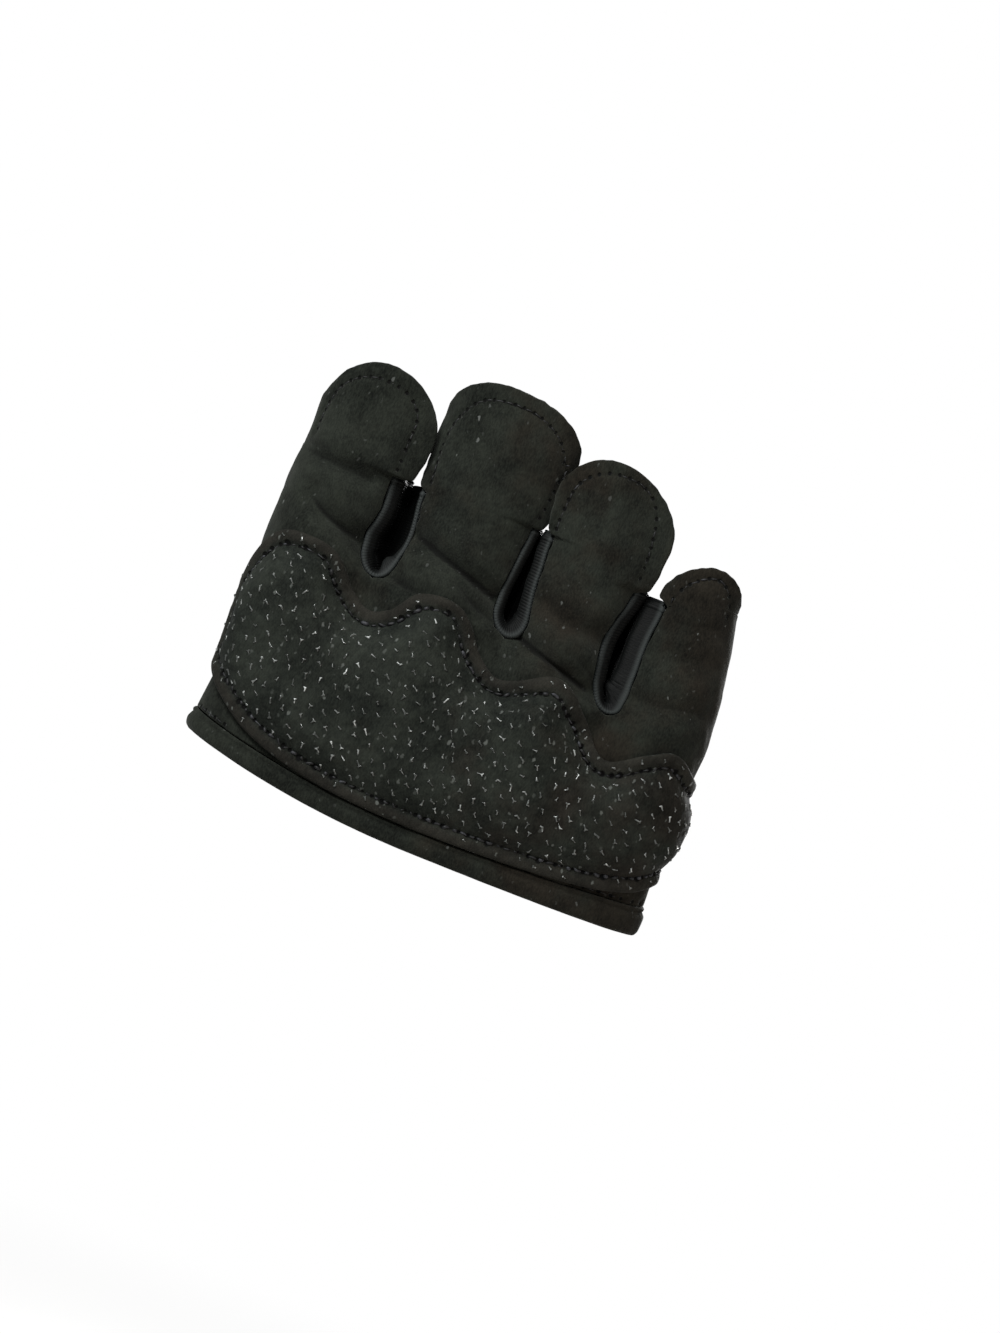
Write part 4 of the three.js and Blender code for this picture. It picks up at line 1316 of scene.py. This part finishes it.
def pad_thickness(away, run):
    """Thickness by distance from the edge: a half-round rim, a ditch at the seam, pulled tighter at each
    hole, then a quarter wave up to the crown."""
    share = np.clip(away / PAD_RIM, 0, 1)
    rim = mix(EDGE_THICK, SEAM_THICK, share) + RIM_SWELL * np.sin(np.pi * share) ** 0.55
    inner = np.clip((away - PAD_RIM) / PAD_SWELL, 0, 1)
    swell = SEAM_THICK + PAD_CROWN * np.sin(np.pi / 2 * inner) ** 0.9
    pull = np.cos(2 * np.pi * run / PAD_PITCH) * np.exp(-((away - PAD_RIM) / 0.9) ** 2)
    return np.where(away < PAD_RIM, rim, swell) - HOLE_PULL * pull


def pad_mesh():
    """The patch's top on the suede, and the closed piece that it makes with its bottom."""
    base = pad_base.reshape(-1, 3)
    quads = grid_faces(*flat.shape[:2])
    normals = normals_of(base, quads)
    thick = pad_thickness(pad_away, pad_run) + 0.10 * ripple(base, 5, 31) * smooth(pad_away, 2.5, 7)
    thick += 0.07 * ripple(base, 2.4, 32) * smooth(pad_away, 0.2, 1.0)
    top = base + normals * (PAD_LIFT + thick)[:, None]
    return top, *closed(top, base + normals * PAD_LIFT, quads)


pad_top, solid, faces = pad_mesh()
pad_seam = outside_only(pad_seam, NO_SEAM)
pad = add_piece("padded_patch", solid, faces, GRIP_CLOTH, "grip_cloth", seam=pad_seam)
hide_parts("grip_pad")

# %% [markdown]
# ## Silicone grips
#
# Rows of three-armed grips are printed on the patch, every second one upside down. Each is a low rounded
# ridge, because it is the ridges across the light that glint. They are one joined mesh: a small pattern
# of points, turned, sized and laid on the surface at every place at once.

# %% Grips
GRIP_PITCH = 2.45
GRIP_LEVELS = (3, 42)            # lowest and highest row of grips
GRIP_JITTER = 0.24
GRIP_RISE = 0.15
GRIP_SUNK = -0.06                # how far a grip's edge lies below the cloth
GRIP_LEAN = math.radians(128)    # way of the arm that is best printed
LEADING_ARM = (0.75, 1.3)        # shortest and longest arm of that kind
OTHER_ARM = (0.12, 0.6)          # and of the others
GRIP_OUTLINE = table("reach side", (0.80, -0.11), (0.80, 0.11), (0.45, 0.14), (0.12, 0.17))


def on_pad(u, z):
    """Points of the patch's top at flat places, with the steps along and up the surface there."""
    column = np.interp(u, pad_u, np.arange(len(pad_u)))
    c = np.clip(column.astype(int), 0, len(pad_u) - 2)
    t = (column - c)[:, None]
    low, high = (mix(edge[c, 0], edge[c + 1, 0], t[:, 0]) for edge in (pad_low, pad_high))
    share = np.clip((z - low) / (high - low), 0, 1)
    row = np.interp(share, PAD_SHARES, np.arange(PAD_ROWS + 1))
    r = np.clip(row.astype(int), 0, PAD_ROWS - 1)
    s = (row - r)[:, None]
    top = pad_top.reshape(flat.shape[0], flat.shape[1], 3)
    left, right = mix(top[c, r], top[c, r + 1], s), mix(top[c + 1, r], top[c + 1, r + 1], s)
    along = right - left
    up = mix(top[c, r + 1] - top[c, r], top[c + 1, r + 1] - top[c + 1, r], t)
    return mix(left, right, t), along, up


def grip_pattern():
    """Points of one grip as (reach along its arm, side of it), their heights, with 1 on the ridge, and the
    arm's number of each; and its faces: an outline round three arms, the same drawn in to the ridge, the
    middle, and a closing face below."""
    places = np.tile(np.stack([GRIP_OUTLINE["reach"], GRIP_OUTLINE["side"]], -1), (3, 1))
    count = len(places)
    flat_places = np.concatenate([places, places * (0.80, 0.40), [[0, 0]]])
    heights = np.concatenate([np.full(count, GRIP_SUNK), np.full(count + 1, 1.0)])
    arms = np.concatenate([np.repeat(np.arange(3), 4)] * 2 + [[0]])
    k = np.arange(count)
    after = (k + 1) % count
    sides = np.stack([k, after, after + count, k + count], -1).tolist()
    tops = np.stack([k + count, after + count, np.full(count, 2 * count)], -1).tolist()
    return flat_places, heights, arms, sides + tops + [k[::-1].tolist()]


def grip_spots(draw):
    """Flat places of the grips: a triangular lattice with a jitter, less those on the seam or the edge."""
    spots = []
    for number, z in enumerate(np.arange(*GRIP_LEVELS, GRIP_PITCH * math.sqrt(3) / 2)):
        u = np.arange(pad_u[0], pad_u[-1], GRIP_PITCH) + (number % 2) * GRIP_PITCH / 2
        spots.append(np.stack([u, np.full(len(u), z), np.arange(len(u)) % 2], -1))
    spots = np.concatenate(spots)
    spots[:, :2] += draw.normal(0, GRIP_JITTER, (len(spots), 2))
    gap, _ = near(spots[:, :2], pad_ring)
    low, high = (np.interp(spots[:, 0], pad_u, edge[:, 0]) for edge in (pad_low, pad_high))
    inside = (spots[:, 1] > low) & (spots[:, 1] < high)
    chosen = inside & (gap > 0.7) & (np.abs(gap - PAD_RIM) > 0.5)
    return spots[chosen], gap[chosen]


def grips():
    """All grips: on each spot the pattern is turned, and every arm has its own length and rise by seeded
    draws. The arm that lies best along the lean is the longest, so that most read as a dash or a hook."""
    draw = np.random.default_rng(7)
    spots, gap = grip_spots(draw)
    count = len(spots)
    places, heights, arms, faces = grip_pattern()
    whole_turn = np.radians(90 + spots[:, 2] * 60 + draw.normal(8, 22, count))
    turn = whole_turn[:, None] + np.arange(3) * 2 * np.pi / 3
    leading = (np.cos(2 * (turn - GRIP_LEAN)) + draw.normal(0, 0.6, (count, 3))).argmax(1)
    length = draw.uniform(*OTHER_ARM, (count, 3))
    length[np.arange(count), leading] = draw.uniform(*LEADING_ARM, count)
    length *= np.where(gap < PAD_RIM, 0.7, 1)[:, None]
    rise = GRIP_RISE * draw.uniform(0.5, 1.3, (count, 3))
    wide = draw.uniform(0.75, 1.25, count)[:, None]
    turn = turn[:, arms]
    ahead_by = places[None, :, 0] * length[:, arms]
    aside_by = places[None, :, 1] * wide
    a = ahead_by * np.cos(turn) - aside_by * np.sin(turn)
    b = ahead_by * np.sin(turn) + aside_by * np.cos(turn)
    h = np.where(heights > 0, rise[:, arms], heights[None])
    middle, along, up = on_pad(spots[:, 0], spots[:, 1])
    out, ahead, above = frames(along, up)
    points = middle[:, None] + sum(
        share[..., None] * way[:, None] for share, way in ((a, ahead), (b, above), (h, out)))
    joined = [[corner + k * len(places) for corner in face] for k in range(count) for face in faces]
    milky = np.zeros((count, len(places), 3))
    # how pale each grip is: partly milky print and partly painted glint
    milky[..., 0] = (0.10 + 0.90 * draw.uniform(0, 1, count) ** 3.4)[:, None]
    return points.reshape(-1, 3), joined, milky.reshape(-1, 3)


points, faces, milky = grips()
add_piece("silicone_grips", points, faces, GRIP, "grip_mark", milky=milky)

# %% [markdown]
# ## Thread
#
# A lockstitch shows as short threads that come up at one hole and go down at the next. Each is a bent
# capsule: rings of six points whose middle line rises and dips as a parabola. They are joined by seam.

# %% Stitches
STITCH_SHARE = 0.74    # length of a stitch as a share of the pitch
STITCH_SINK = 0.12     # how far its ends dip into their holes
RINGS = 7              # rings of points along a stitch
RING = 6               # points in a ring


def stitch_pattern(length, radius):
    """Points of one stitch as (along, side, out), rings of six round a line that dips at both ends, and its
    faces: quads between the rings and a closing face at each end."""
    t = np.linspace(-1, 1, RINGS)
    size = radius * np.sqrt(np.maximum(0.04, 1 - t ** 4))
    lift = radius * 0.55 - (radius + STITCH_SINK) * t ** 4
    angle = np.arange(RING) * np.pi / 3
    along = np.repeat(t * length / 2, RING)
    side = (size[:, None] * np.cos(angle)).ravel() * 1.15
    out = (lift[:, None] + size[:, None] * np.sin(angle)).ravel()
    first = RING * np.arange(RINGS - 1)
    last = first + RING - 1
    ring = np.stack([last, last + RING, first + RING, first], -1)
    quads = np.concatenate([grid_faces(RINGS, RING), ring])[:, ::-1].tolist()
    k = np.arange(RING)
    ends = [k[::-1].tolist(), (k + RING * (RINGS - 1)).tolist()]
    return np.stack([along, side, out], -1), quads + ends


def seam_frames(line, normals, run, at):
    """Points at lengths along a seam, with the unit ways out of the cloth and ahead along the seam."""
    out = unit(at_lengths(at, run, normals))
    ahead = at_lengths(at + 0.3, run, line) - at_lengths(at - 0.3, run, line)
    return at_lengths(at, run, line), out, unit(ahead - out * (ahead * out).sum(1)[:, None])


def stitches(name, lines, radius, uneven, lift, dusty):
    """Stitches along seams as one piece: each sits half-way between two holes, with its own length,
    thickness, height, turn and paleness by seeded draws."""
    draw = np.random.default_rng(17)
    all_points, all_faces, all_pale, count = [], [], [], 0
    for line, normals, run, pitch in lines:
        middles = np.arange(pitch / 2, run[-1] - pitch * 0.3, pitch)
        number = len(middles)
        point, out, ahead = seam_frames(line, normals, run, middles)
        turn = draw.normal(0, 0.35 * uneven, (number, 1))
        ahead = ahead * np.cos(turn) + np.cross(out, ahead) * np.sin(turn)
        side = np.cross(out, ahead)
        size = 1 + uneven * draw.uniform(-0.5, 0.5, (number, 3))
        size[:, 1] = size[:, 2]
        pattern, faces = stitch_pattern(pitch * STITCH_SHARE, radius)
        moved = sum((pattern[None, :, k] * size[:, k, None])[..., None] * way[:, None]
                    for k, way in enumerate((ahead, side, out)))
        height = lift + radius * uneven * draw.normal(0, 0.3, (number, 1))
        points = (point + out * height)[:, None] + moved
        for k in range(number):
            offset = count + k * len(pattern)
            all_faces += [[corner + offset for corner in face] for face in faces]
        dust = dusty * draw.uniform(0, 1, (number, 1, 1)) ** 1.5
        all_points.append(points.reshape(-1, 3))
        all_pale.append(np.broadcast_to(dust, points.shape).reshape(-1, 3))
        count += number * len(pattern)
    points, dust = np.concatenate(all_points), np.concatenate(all_pale)
    return add_piece(name, points, all_faces, THREAD, "thread", dusty=dust)


stitches("suede_stitches", suede_lines, 0.12, uneven=0.3, lift=-0.33, dusty=0.5)
stitches("back_stitches", back_lines, 0.15, uneven=0.2, lift=-0.2, dusty=0.8)
middle, along, up = on_pad(*pad_line.T)
pad_lines = [(middle, frames(along, up)[0], length_along(pad_line), PAD_PITCH)]
stitches("patch_stitches", pad_lines, 0.2, uneven=1.0, lift=-0.04, dusty=1.2)

# %% [markdown]
# ## The wrist hem
#
# The wrist edge is a strip folded in two: a fat roll outside, and an inner leg that reaches up behind the
# panels and is caught by the seam. Its section is one closed curve carried round the wrist opening.

# %% Hem

# Each place of the section: out from the shell, up from the wrist edge, or where tall is 1 up from the
# hem's upper edge
HEM_SECTION = table(
    "away up tall",
    (-0.30, 0.00, 1), (0.10, 0.06, 1), (0.40, -0.12, 1), (0.42, -0.42, 1), (0.26, -0.66, 1),
    (0.48, -1.05, 1), (0.74, -1.7, 1), (0.80, 1.3, 0), (0.68, 0.5, 0), (0.32, 0.04, 0), (-0.35, -0.06, 0),
    (-1.1, 0.05, 0), (-1.7, 0.5, 0), (-1.95, 1.3, 0), (-2.0, -0.4, 1), (-2.02, 2.0, 1), (-1.9, 3.2, 1),
    (-1.72, 3.4, 1), (-1.55, 3.2, 1), (-1.48, 2.0, 1), (-1.42, 0.2, 1), (-1.2, -0.25, 1), (-0.7, -0.2, 1),
)
TALL = 3.6             # usual height of the hem, for even steps round the section
PUCKER = 0.16          # height of the puckers where the hem is gathered
PUCKER_PITCH = 2.5


def closed_curve(rows, steps):
    """Smooth closed curve through the rows: the table is wrapped round and followed over its length."""
    places = np.stack(list(rows.values()), -1)
    wrapped = np.concatenate([places[-3:], places, places[:3]])
    at = length_along(wrapped[:, :2] + wrapped[:, 2:] * (0, TALL))
    line = {"at": at, **dict(zip(rows, wrapped.T))}
    run = np.linspace(at[3], at[3 + len(places)], steps + 1)[:-1]
    return {name: follow(line, name, run, key="at") for name in rows}


def hem_path():
    """Stops round the wrist opening as (face, strip, share): the palm from the index side, then the back."""
    shares = np.sin(np.radians(np.linspace(-90, 90, 33)))[1:]
    stops = [("palm", i, f) for i in STRIPS for f in shares]
    return stops + [("back", i, f) for i in reversed(STRIPS) for f in -shares]


def ring_faces(columns, rows):
    """Corner numbers of the quads of a grid that is closed both ways, as a ring's surface is."""
    c = np.arange(columns)[:, None]
    r = np.arange(rows)
    d, s = (c + 1) % columns, (r + 1) % rows
    return np.stack([c * rows + r, c * rows + s, d * rows + s, d * rows + r], -1).reshape(-1, 4)


def wrist_hem():
    """The section carried round the path, leaning out along the path's normal, with puckers where the
    far side is gathered: the third power of cosine ridges."""
    path = hem_path()
    level = on_columns(path, np.full((len(path), 1), HEM_LEVEL))[:, 0]
    x, run = level[:, 0], length_along(level)
    along = np.roll(level, -1, 0) - np.roll(level, 1, 0)
    out = unit(np.stack([along[:, 1], -along[:, 0], 0 * x], -1))
    on_palm = np.array([face == "palm" for face, _, _ in path])
    base = np.where(on_palm, wrist_z(x, "palm"), wrist_z(x, "back"))
    section = closed_curve(HEM_SECTION, 64)
    up = section["up"][None] + section["tall"][None] * hem_height(x)[:, None]
    ridges = PUCKER * np.maximum(0, np.cos(2 * np.pi * run / PUCKER_PITCH)) ** 3
    ridges = ridges * smooth(x, 22, 30) * on_palm
    away = section["away"][None] + ridges[:, None] * smooth(section["away"], 0.0, 0.7)[None]
    points = on_columns(path, base[:, None] + up) + away[..., None] * out[:, None]
    bumps = unevenness(points.reshape(-1, 3), (0.12, 7, 41), (0.06, 2.6, 42)).reshape(away.shape)
    points = points + out[:, None] * bumps[..., None]
    return points.reshape(-1, 3), ring_faces(*away.shape), run[-1]


solid, faces, round_wrist = wrist_hem()
print(f"hem: {round_wrist:.0f} mm round the wrist opening")
hem = add_piece("folded_hem", solid, faces, SUEDE_FINISH, "suede", seam=np.full(solid.shape, NO_SEAM))
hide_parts("wrist_hem")

# %% [markdown]
# ## The ribbed gussets
#
# A strip of rib knit lines each slit from the palm seam to the back seam. Its front edge is turned over the
# seam as a round lip just inside the suede, and its ribs run from the lip down into the slit. The strip is
# a grid: round the slit one way, and over the lip and down the wall the other. The ribs are real ridges.

# %% Gussets
RIB = 0.52             # pitch of the ribs
RIB_HEIGHT = 0.2
RIB_STEPS = 600        # columns along a gusset's front edge
FOLD = 0.2             # radius of the turned front edge
FOLD_TURN = 118        # degrees that it is turned over
FOLD_OUT = -0.28       # the middle of the turned edge, out from the slit's own edge
FOLD_DEEP = 0.6        # and below the palm's surface
BACK_CLEAR = 0.3       # clearance to the back panel
PINCH = 0.2            # half the space between the walls where they are pressed together
WEB_RISE = 2.0         # how far the middle of a gusset is lifted
STRAIGHT = 0.32        # share of each wall above the slit's round bottom
TOP_RISE = 0.9         # how far a gusset's front ends reach up behind the tabs
TUCKED = table("out deep", (0.9, 1.68), (0.1, 1.6), (-0.08, 1.2))
PULLED = ((), (0.60,), (0.36, 0.40, 0.66, 0.69))       # places of the pulled threads in each gusset
# How far each wall slopes in before it turns down, near the bottom and above; what is left of that at the
# bottom itself; how strongly each side is ribbed; how light its painted shade leaves it beyond its lip; and
# how much lower the far side ends than the index side
WALLS = table(
    "index_low index_high far_low far_high bottom index_ribs far_ribs index_shade far_shade drop",
    (1.0, 1.2, 1.9, 0.3, 0.25, 1.0, 0.2, 0.50, 0.50, 0.3),
    (1.0, 0.9, 1.6, 1.1, 0.9, 0.9, 0.7, 0.50, 0.45, 0.2),
    (1.2, 1.8, 2.9, 2.1, 0.35, 1.4, 0.03, 0.75, 0.12, 0.9),
)


def by_side(k, a, name):
    """A wall's value: the index side's, the far side's, and a smooth change round the bottom."""
    return mix(WALLS["index_" + name][k], WALLS["far_" + name][k], smooth(a, -0.25, 0.25))


def wall_slope(k, a):
    """How far a wall slopes in at a place along the slit's edge, and over what share of its depth."""
    slope = mix(by_side(k, a, "low"), by_side(k, a, "high"), smooth(np.abs(a), 0.5, 0.8))
    slope = slope * mix(WALLS["bottom"][k], 1, smooth(np.abs(a), 0.05, 0.35))
    return slope, 0.035 + 0.02 * slope


def gusset_place(k, a, d):
    """Place in a gusset: a runs from one hem (-1) round the bottom to the other (1), and d from the palm
    seam to the back. A wall slopes in as a quarter sine, goes straight down, and is pressed to the other
    wall half-way by a flat bell of the fourth power; both sway as a sine. Gives x, z and the way out."""
    reach = np.abs(a)
    beta = np.clip(reach / (1 - STRAIGHT), 0, 1) * np.pi / 2
    slope, over = wall_slope(k, a)
    sloped = slope * np.sin(np.pi / 2 * np.clip(d / over, 0, 1)) * (1 - smooth(d, 0.5, 0.9))
    foot = mix(SLITS["bottom_z"][k], SLITS["back_z"][k], d) + WEB_RISE * np.sin(np.pi * d)
    curve = foot + SLITS["round"][k] * (1 - np.cos(beta)) + sloped * np.cos(beta)
    end = SLITS["hem_z"][k] - WALLS["drop"][k] * (a > 0) + TOP_RISE * (1 - smooth(d, 0.2, 0.8))
    wall = mix(foot + SLITS["round"][k], end, (reach - 1 + STRAIGHT) / STRAIGHT)
    z = np.where(reach < 1 - STRAIGHT, curve, wall)
    taper = np.clip((z - SLITS["bottom_z"][k]) / (SLITS["hem_z"][k] - SLITS["bottom_z"][k]), 0, 1)
    front = mix(SLITS["half"][k], SLITS["hem_half"][k], taper)
    half = np.maximum(mix(front, BACK_SLIT_HALF, smooth(d, 0.3, 0.9)) - sloped, PINCH)
    half = mix(half, PINCH, np.exp(-((d - 0.5) / 0.2) ** 4))
    side = np.sign(a) * np.sin(beta)
    strayed = mix(stray(k, -1, z), stray(k, 1, z), (side + 1) / 2) * (1 - smooth(d, 0.05, 0.45))
    x = slit_middle(k, z) + SLITS["sway"][k] * np.sin(2 * np.pi * d) + side * half + strayed
    down = np.where(reach < 1 - STRAIGHT, -np.cos(beta), 0)
    size = np.hypot(side, down)
    return x, z, side / size, down / size


def even_places(k):
    """Places a along a slit's front edge at even lengths, found by looking up the length of a fine line."""
    a = np.linspace(-1, 1, 2001)
    x, z, _, _ = gusset_place(k, a, 0 * a)
    run = length_along(np.stack([x, z], -1))
    even = np.linspace(0, run[-1], RIB_STEPS + 1)
    return np.interp(even, run, a), even


def rib_crests(k, a, run, d, over, lip):
    """Height of the ribs, 0 to 1: a squared cosine wave along the edge, more or less strong by the wall,
    evened out on the lip and near both hems, and a raised line where a thread is pulled."""
    wave = (0.5 + 0.5 * np.cos(2 * np.pi * run / RIB)) ** 2
    crest = 0.3 + by_side(k, a, "ribs") * (wave - 0.3)
    crest = mix(0.7, crest, smooth(np.minimum(run, run[-1] - run), 0.4, 1.4))
    crest = mix(crest[:, None], 0.7, 0.75 * lip)
    inner = smooth(d, 0.2 * over, 0.4 * over) * (1 - smooth(d, 0.8 * over, over))
    for place in PULLED[k]:
        crest = np.maximum(crest, 0.9 * np.exp(-((a - place) / 0.004) ** 2)[:, None] * inner)
    return crest


def gusset_sheet(k, a):
    """Points of a gusset over the places a: from its tucked edge over the fold, then down the wall; with d
    of each column and the length down the wall."""
    turn = np.radians(np.linspace(0, FOLD_TURN, 8))
    out = np.concatenate([TUCKED["out"], FOLD_OUT + FOLD * np.cos(turn)])
    deep = np.concatenate([TUCKED["deep"], FOLD_DEEP - FOLD * np.sin(turn)])
    wall = close_at_ends(34, 0.85, 0.3)[1:]
    d = np.concatenate([0 * out, wall])[None]
    out = np.concatenate([out, out[-1] * (1 - smooth(wall, 0, 0.4))])[None]
    deep = np.concatenate([deep, np.full(len(wall), deep[-1])])[None]
    x, z, way_x, way_z = gusset_place(k, a[:, None], d)
    top = np.minimum(z, SLITS["hem_z"][k])
    front = deep - edge_depth(k, 1, top, "palm")
    y = mix(front, edge_depth(k, 1, top, "back") - STRETCH - BACK_CLEAR, d)
    points = np.stack([x + out * way_x, y, z + out * way_z], -1)
    return points, d, length_along(points[RIB_STEPS // 2])


def gusset(k):
    """The strip with a ridge for each rib and a small hem at both ends, made into a wall of rib knit; and
    for its points the place on the ribs with the crest, and its painted shade: light at the lip, dark deep
    in the slit."""
    a, run = even_places(k)
    points, d, down_wall = gusset_sheet(k, a)
    over = wall_slope(k, a)[1][:, None]
    lip = 1 - smooth(d, 0.0, 0.3 * over)
    crest = rib_crests(k, a, run, d, over, lip)
    # painted shade: none on the lip, a wall's own amount beyond it, and darkest deep in the slit
    pale = by_side(k, a, "shade")[:, None]
    rubbed = mix(pale, 1, lip ** 2) * (1 - smooth(d, 0.7 * over, 0.7 * over + 0.1))
    to_hem = np.minimum(run, run[-1] - run)
    hemmed = 0.2 * np.exp(-((to_hem - 0.6) / 0.4) ** 2) - 0.14 * np.exp(-((to_hem - 1.5) / 0.2) ** 2)
    waves = 0.14 * ripple(points, 4.5, 51 + k) * smooth(d, 0.0, 0.15)
    raised = RIB_HEIGHT * crest + hemmed[:, None] + waves
    quads = grid_faces(*raised.shape)[:, ::-1]
    points = points.reshape(-1, 3)
    points = points + normals_of(points, quads) * raised.reshape(-1, 1)
    solid, faces = cloth_wall(points, normals_of(points, quads), quads, KNIT, KNIT_ROUND)
    places = np.broadcast_arrays(run[:, None], down_wall[None], crest)
    rib = np.stack(places, -1).reshape(-1, 3)
    painted_shade = np.stack([rubbed, 0 * rubbed, 0 * rubbed], -1).reshape(-1, 3)
    return solid, faces, np.tile(rib, (2, 1)), np.tile(painted_shade, (2, 1))


NAMES = ("index_middle", "middle_ring", "ring_little")
for k, name in enumerate(NAMES):
    solid, faces, rib, painted_shade = gusset(k)
    strip = add_piece(f"ribbed_gusset_{name}", solid, faces, RIB_KNIT, "rib_knit", rib=rib, rubbed=painted_shade)
    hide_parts(f"gusset_{name}")

# %% [markdown]
# ## Stage, light and camera
#
# The glove stands in the air with its wrist opening down, in the form that it has when worn, well clear of
# the floor. The floor is one wide pale disc. The light is a pale room with a large soft lamp at the upper
# left, so black cloth shows its nap and only the silicone glints.

# %% Floor
FLOOR_Z = -0.32
FLOOR_SIZE = 1.0
SPOKES = 96


def make_floor():
    """A round flat sheet of rings and spokes, far below the glove, that fades out towards its edge."""
    turn = np.linspace(0, 2 * np.pi, SPOKES + 1)[:-1]
    rings = np.array([0.02, 0.3, 0.6, FLOOR_SIZE])
    x, y = rings[:, None] * np.cos(turn), rings[:, None] * np.sin(turn)
    points = np.stack([x, y, np.full(x.shape, FLOOR_Z)], -1).reshape(-1, 3)
    k = np.arange(SPOKES)
    after = (k + 1) % SPOKES
    faces = [k.tolist()]
    for inner in range(0, len(points) - SPOKES, SPOKES):
        outer = inner + SPOKES
        faces += np.stack([k + inner, k + outer, after + outer, after + inner], -1).tolist()
    mesh = bpy.data.meshes.new("floor")
    mesh.from_pydata(points.tolist(), [], faces)
    floor = bpy.data.objects.new("floor", mesh)
    bpy.context.scene.collection.objects.link(floor)
    material, net, shader, place = new_material("pale_floor", Roughness=0.9, Specular_IOR_Level=0.2)
    tone = net.ramp(net.noise(place, 3, 2), 0.3, 0.7)
    colour = net.blend(tone, (0.84, 0.84, 0.83, 1), (0.88, 0.88, 0.87, 1))
    level = net.stretch(place, (1, 1, 0))
    away = net.add("ShaderNodeVectorMath", {0: level}, operation="LENGTH").outputs["Value"]
    net.put(shader, Base_Color=colour, Alpha=net.ramp(away, FLOOR_SIZE * 0.3, FLOOR_SIZE * 0.98, 1.0, 0.0))
    mesh.materials.append(material)
    return floor


make_floor()

# %% Light
ROOM_LIGHT = 0.26      # strength of the room on the cloth
BACKDROP = 1.0         # strength of the same white as it is seen directly


def make_room():
    """A white room: what is seen directly is full white, and what it sheds on the cloth is softer."""
    world = bpy.data.worlds.new("pale_room")
    world.use_nodes = True
    net = Net(world.node_tree)
    world.node_tree.nodes.clear()
    white = (1.0, 1.0, 1.0, 1)
    soft = net.add("ShaderNodeBackground", {"Color": white, "Strength": ROOM_LIGHT}).outputs[0]
    seen = net.add("ShaderNodeBackground", {"Color": white, "Strength": BACKDROP}).outputs[0]
    direct = net.add("ShaderNodeLightPath").outputs["Is Camera Ray"]
    both = net.add("ShaderNodeMixShader", {0: direct, 1: soft, 2: seen})
    net.add("ShaderNodeOutputWorld", {"Surface": both.outputs[0]})
    return world


bpy.context.scene.world = make_room()
MIDDLE = (0.0, 0.0, 0.035)       # middle of the glove, at which the lamps point


def lamp(name, place, size, power, colour):
    """Square soft lamp at a place, turned to the middle of the glove, with its side in metres and its power
    in watts."""
    light = bpy.data.lights.new(name, "AREA")
    light.shape = "SQUARE"
    light.size = size
    light.energy = power
    light.color = colour
    holder = bpy.data.objects.new(name, light)
    holder.location = place
    holder.rotation_euler = (Vector(MIDDLE) - Vector(place)).to_track_quat("-Z", "Y").to_euler()
    bpy.context.scene.collection.objects.link(holder)


lamp("key_lamp", (-0.26, -0.27, 0.33), size=0.20, power=3.25, colour=(1.0, 1.0, 0.99))
lamp("glint_lamp", (-0.10, -0.45, 0.40), size=0.05, power=1.3, colour=(1.0, 1.0, 1.0))
lamp("warm_fill", (0.60, -0.35, -0.05), size=0.35, power=1.8, colour=(1.0, 0.88, 0.78))
lamp("back_lamp", (0.25, 0.75, 0.20), size=0.45, power=9.0, colour=(1.0, 1.0, 1.0))
print("lamps:", [light.name for light in bpy.data.lights])

# %% [markdown]
# ### Camera
#
# The photograph looks straight at the palm from less than half a metre, with the tabs turned 22 degrees to
# the right. One pixel of its 1000 by 1333 is 0.163 mm on the palm, and that sets the lens.

# %% Camera
PIXEL = 0.163 * MM               # size of one pixel of the photograph on the palm
PICTURE_HEIGHT = 1333            # pixels
AIM = Vector((0.0024, -0.006, 0.0324))
DISTANCE = 0.43
TURN = math.radians(22)

lens = bpy.data.cameras.new("camera")
lens.sensor_width = 36
lens.lens = lens.sensor_width * DISTANCE / (PIXEL * PICTURE_HEIGHT)
lens.clip_start = 0.01
camera = bpy.data.objects.new("camera", lens)
bpy.context.scene.collection.objects.link(camera)
stand = Matrix.Translation(AIM - Vector((0, DISTANCE, 0)))
upright = Matrix.Rotation(math.radians(90), 4, "X")
camera.matrix_world = stand @ upright @ Matrix.Rotation(TURN, 4, "Z")
bpy.context.scene.camera = camera
bpy.context.scene.view_settings.view_transform = "Standard"
print(f"lens {lens.lens:.1f} mm")
